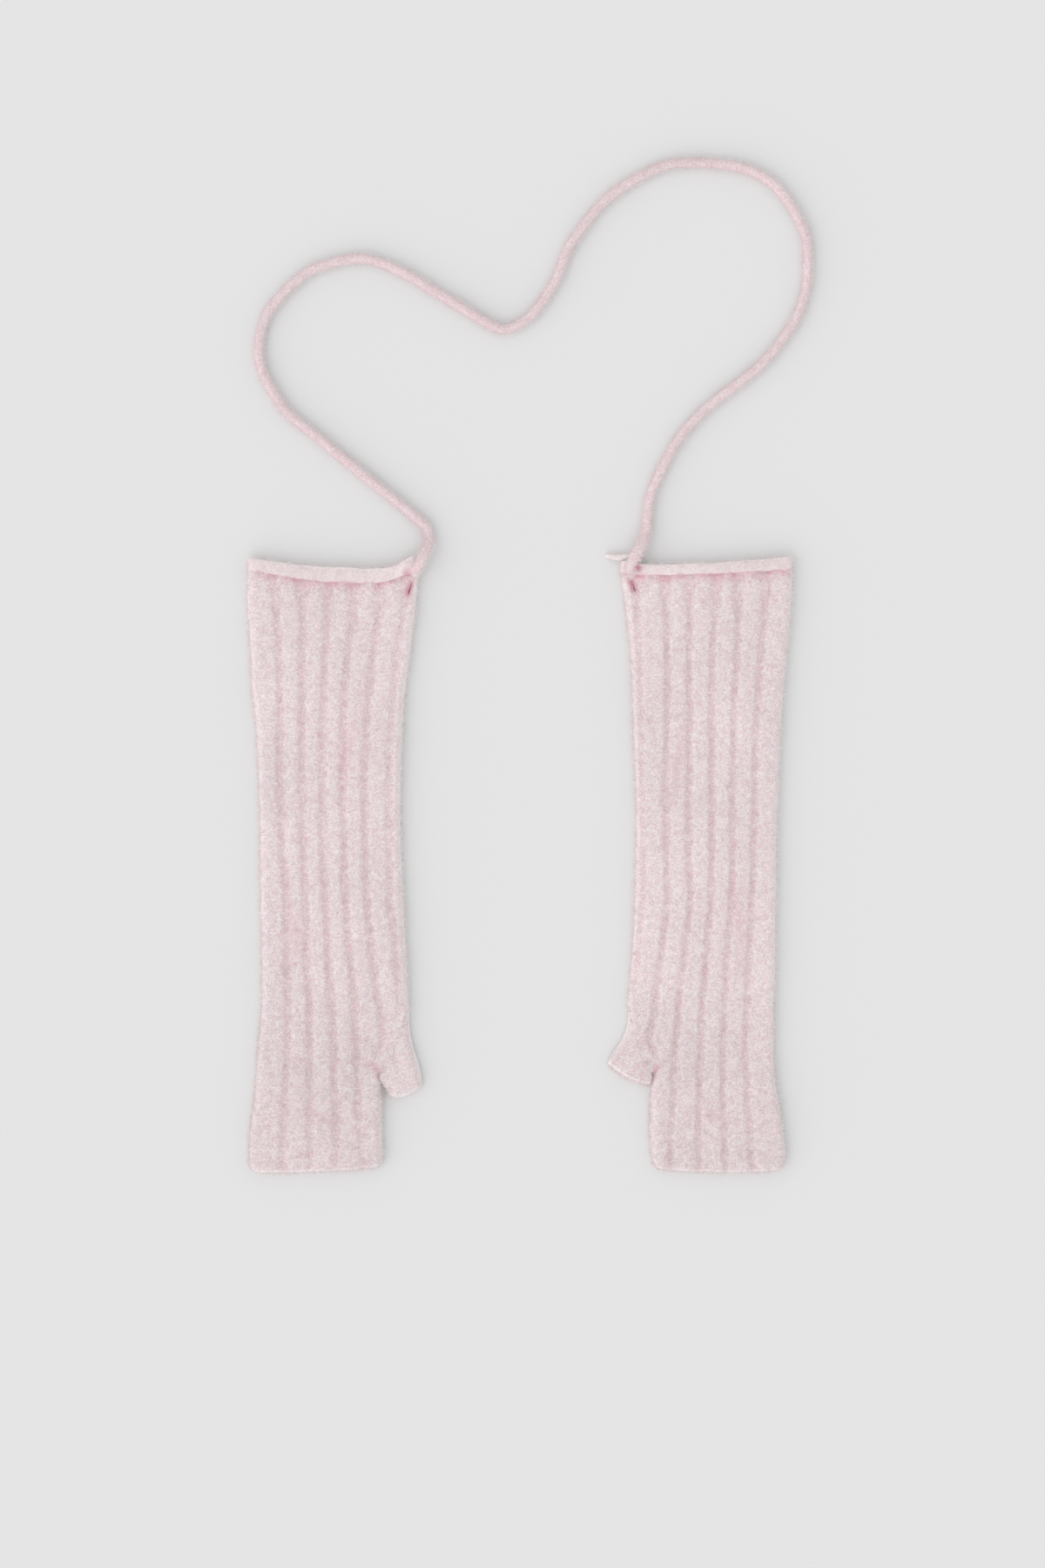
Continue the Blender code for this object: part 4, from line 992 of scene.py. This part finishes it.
def thumb_surface(mitten):
    """The outer skin as rings of points, with the relief of each point."""
    seed = mitten["seed"] + 60
    last = len(mitten["thumb"]) - 1
    t = last * (1 - (1 - np.linspace(0, 1, THUMB_ROWS)) ** 1.25)[:, None]
    edge = (1 - np.cos(np.linspace(0, np.pi, THUMB_TOP))) / 2
    share = (0.55 * edge + 0.45 * np.linspace(0, 1, THUMB_TOP))[None, :]
    under_share = np.linspace(1, 0, THUMB_UNDER + 2)[None, 1:-1]
    thinning = lip_thinning(last - t, THUMB_LIP, THUMB_LIP_THINNING)
    to_tube = smooth_step(t, 0.0, 2.5)
    middle, half, depth = THUMB_HOLLOW
    root_x, root_y, *_ = thumb_plan(mitten, 0 * t, share)
    on_tube = 1 - depth * np.exp(-(((share - middle) / half) ** 2)) * (1 - smooth_step(t, 2.0, last))
    rib = ribs(mitten, np.abs(root_x), root_y) * (1 - to_tube) + on_tube * to_tube

    x, y, to_outer, width, push_x, push_y = thumb_plan(mitten, t, share)
    grain, _ = front_relief(mitten, np.abs(x), y)
    reach = THUMB_WEB + (THUMB_FOLD - THUMB_WEB) * smooth_step(t, 1.5, last - 1)
    rise = GROOVE_TOP - EDGE_HEIGHT + RIB_RISE * (1.15 * rib - 0.15) - thinning + grain
    inset = np.minimum(to_outer, (1 - share) * width / reach * TOP_ROUNDING)
    z = EDGE_HEIGHT + rise * crown(inset, TOP_ROUNDING)
    back = mitten["thumb_lip"] * smooth_step(t, last - 2.5, last) * smooth_step(z, MIDDLE, GROOVE_TOP)
    x = x - push_x * back
    y = y - push_y * back
    under_x, under_y, under_outer, *_ = thumb_plan(mitten, t, under_share)
    under_z = EDGE_HEIGHT * (1 - crown(np.minimum(under_outer, (1 - under_share) * width), UNDER_ROUNDING))
    rings = np.stack([np.concatenate([x, under_x], axis=1), np.concatenate([y, under_y], axis=1),
                      np.concatenate([z, under_z], axis=1)], axis=2)

    # The pale nap along the thumb's outline; on an outer side away from the lamp it is full and also painted light.
    rims = [(share * THUMB_ROOT_WIDTH, mitten["thumb_outer_fuzz_and_rim_light"]), ((1 - share * to_tube) * THUMB_ROOT_WIDTH, 0.9),
            ((last - t) * THUMB_SECTION_STEP, 0.6)]
    relief = np.zeros(rings.shape[:2] + (2,))
    relief[:, :, 0] = 0.85
    # The thumb's colour is drawn deeper than the body's by this share.
    relief[:, :THUMB_TOP, 0] = rib - mitten["thumb_deeper_tone"]
    relief[:, :THUMB_TOP, 1] = -np.maximum.reduce(
        [outline_fuzz_and_rim_light(distance, x, y, seed + 3) * most for distance, most in rims])
    return rings, relief


def thumb_hollow(mitten):
    """The inner skin, 3 mm inside the outer one."""
    t = np.linspace(0, len(mitten["thumb"]) - 1, THUMB_HOLLOW_ROWS)[:, None]
    share, lift = both_layers(THUMB_HOLLOW_COLUMNS)
    width = thumb_plan(mitten, t, share)[3]
    share = (WALL + (width - 2 * WALL) * share) / width
    x, y, *_ = thumb_plan(mitten, t, share)
    inset = np.minimum(share * width, (1 - share) * width) - WALL
    relief = np.zeros(share.shape + (2,))
    # Painted shade: the inside of the thumb takes some of the crease colour.
    relief[:, :, 1] = 0.4
    return np.stack([x, y, MIDDLE + lift * LAYER_GAP / 2 * crown(inset, HOLLOW_ROUNDING)], axis=2), relief


thumbs = {}
for key, mitten in MITTENS.items():
    thumb = open_tube("thumb_tube_" + key, thumb_surface(mitten), thumb_hollow(mitten), rib_knit)
    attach(thumb, "root")
    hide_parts("thumb_" + key)
    thumbs[key] = thumb


# The arm end finishes in a strip of plain knit that curls outwards into a soft, smooth roll right round
# the opening. The roll is about 7 to 8 mm high, its two layers lie on each other, and it is drawn up into
# a rounded knot where the cord goes over it.
ROLL_THICK = 0.0038
ROLL_SQUARENESS = 0.62
ROLL_ACROSS = 180
ROLL_FOLD = 16
ROLL_SIDES = 36
ROLL_STREAK = 0.00024
ROLL_GRAIN = 0.00014
DENT_REACH = 0.0023
DENT_DEPTH = 0.0020


def roll_surface(mitten):
    """The skin as rings of points that come back to the first one, with the relief of each point."""
    seed = mitten["seed"] + 80
    outer_edge, inner_edge = (float(v) for v in follow(mitten["outline"], mitten["outline"][-1][0]))
    width = outer_edge - inner_edge
    turn_radius = (ROLL_THICK + LAYER_GAP) / 2
    near = ROLL_THICK / 2 + turn_radius
    over = np.linspace(near, width - near, ROLL_ACROSS)
    bend = np.linspace(0, np.pi, ROLL_FOLD + 2)[1:-1]
    place = np.concatenate([over, width - near + turn_radius * np.sin(bend), over[::-1],
                            near - turn_radius * np.sin(bend)])
    height = near + np.concatenate([np.full(ROLL_ACROSS, turn_radius), turn_radius * np.cos(bend),
                                    np.full(ROLL_ACROSS, -turn_radius), -turn_radius * np.cos(bend)])
    normal_x = np.concatenate([np.zeros(ROLL_ACROSS), np.sin(bend), np.zeros(ROLL_ACROSS), -np.sin(bend)])
    normal_z = np.concatenate([np.ones(ROLL_ACROSS), np.cos(bend), -np.ones(ROLL_ACROSS), -np.cos(bend)])
    half_height, raised = follow(mitten["roll"], place / width)
    line = follow(mitten["arm_line"], place / width)[0] + raised
    turn = 2 * np.pi * np.arange(ROLL_SIDES)[None, :] / ROLL_SIDES
    up_share = np.sin(turn)
    out = np.sign(np.cos(turn)) * np.abs(np.cos(turn)) ** ROLL_SQUARENESS * ROLL_THICK / 2
    along = np.sign(np.sin(turn)) * np.abs(np.sin(turn)) ** ROLL_SQUARENESS
    in_front = smooth_step(normal_z, -0.9, 0.3)[:, None] * smooth_step(np.cos(turn), -0.4, 0.2)
    s = np.concatenate([[0.0], np.cumsum(np.hypot(np.diff(place), np.diff(height)))])[:, None]
    streak = soft_noise(s / 0.005 + turn * 0.5, turn * 2.2, seed)
    grain = soft_noise(s / 0.0016, turn * 4.0, seed + 1)
    knot_x, knot_half, knot_y, swell = mitten["knot"]
    by_knot = np.exp(-(((outer_edge - place - knot_x) / knot_half) ** 2))[:, None]
    dent = np.exp(-(((outer_edge - place[:, None] - knot_x) / DENT_REACH) ** 2)
                  - ((half_height[:, None] * along - knot_y * -0.9) / DENT_REACH) ** 2)
    out = out + in_front * (ROLL_STREAK * streak + ROLL_GRAIN * grain + max(swell, 0.0) * by_knot)
    out = out - in_front * DENT_DEPTH * dent
    wobble = 0.06 * soft_noise(s / 0.007, 0.0, seed + 2) + 0.05 * soft_noise(s / 0.0025, 0.0, seed + 4)
    along = half_height[:, None] * along * (1 + in_front * np.where(up_share < 0, 0, wobble))
    rings = np.stack([
        mitten["side"] * (outer_edge - place[:, None] - out * normal_x[:, None]),
        line[:, None] + along,
        height[:, None] + out * normal_z[:, None],
    ], axis=2)
    rings = np.concatenate([rings, rings[:1]], axis=0)
    relief = np.zeros(rings.shape[:2] + (2,))
    relief[:, :, 0] = np.clip(0.65 + 0.5 * np.cos(turn) ** 2, 0, 1)
    # Painted shade along the crease under the roll and in the dent where the cord crosses it; painted light along the
    # top edge, partly the real pale nap there.
    crease_line = -0.80 + 0.16 * soft_noise(s / 0.0035, 0.0, seed + 5)
    shade = 0.55 * (1 - smooth_step(up_share, crease_line - 0.15, crease_line + 0.15))
    shade = shade - 0.85 * smooth_step(up_share, 0.55, 0.95)
    shade = shade * in_front + mitten["dent_shade"] * dent * in_front
    relief[:-1, :, 1] = np.clip(shade, -1, 1)
    relief[-1, :, 1] = relief[0, :, 1]
    return rings, relief


roll_knit = brushed_knit("roll_knit", (0.890, 0.820, 0.815, 1.0), (0.840, 0.740, 0.745, 1.0),
                         (0.790, 0.640, 0.660, 1.0), (0.810, 0.740, 0.755, 1.0), 0.0003)
rolls = {}
for key, mitten in MITTENS.items():
    bm = bmesh.new()
    first, last = skin(bm, *roll_surface(mitten))
    bmesh.ops.weld_verts(bm, targetmap=dict(zip(last, first)))
    face_outwards(bm)
    roll = object_from(bm, "roll_" + key, roll_knit)
    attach(roll, "root")
    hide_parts("rolled_edge_" + key)
    rolls[key] = roll


# Brushing has raised a nap of short curled fibres all over the knit. It shows most as a pale fringe along each
# outline, and lies thinner on the rolls and the thumbs. The fringe's fibres on sides away from the lamp are painted
# paler, as painted light.
BODY_NAP = 0.66e6
ROLL_NAP = 0.90e6
THUMB_NAP = 0.70e6
NAP_LEAN = (0.75, 1.45)

for key, mitten in MITTENS.items():
    seed = mitten["seed"]
    body_nap = nap("ribbed_body_nap_" + key, bodies[key], body_fibre, BODY_NAP, NAP_LEAN, seed + 5)
    roll_nap = nap("roll_nap_" + key, rolls[key], cord_fibre, ROLL_NAP, NAP_LEAN, seed + 6)
    thumb_nap = nap("thumb_nap_" + key, thumbs[key], body_fibre, THUMB_NAP, NAP_LEAN, seed + 7)
for fibre in (body_fibre, cord_fibre):
    bpy.data.objects.remove(fibre, do_unlink=True)
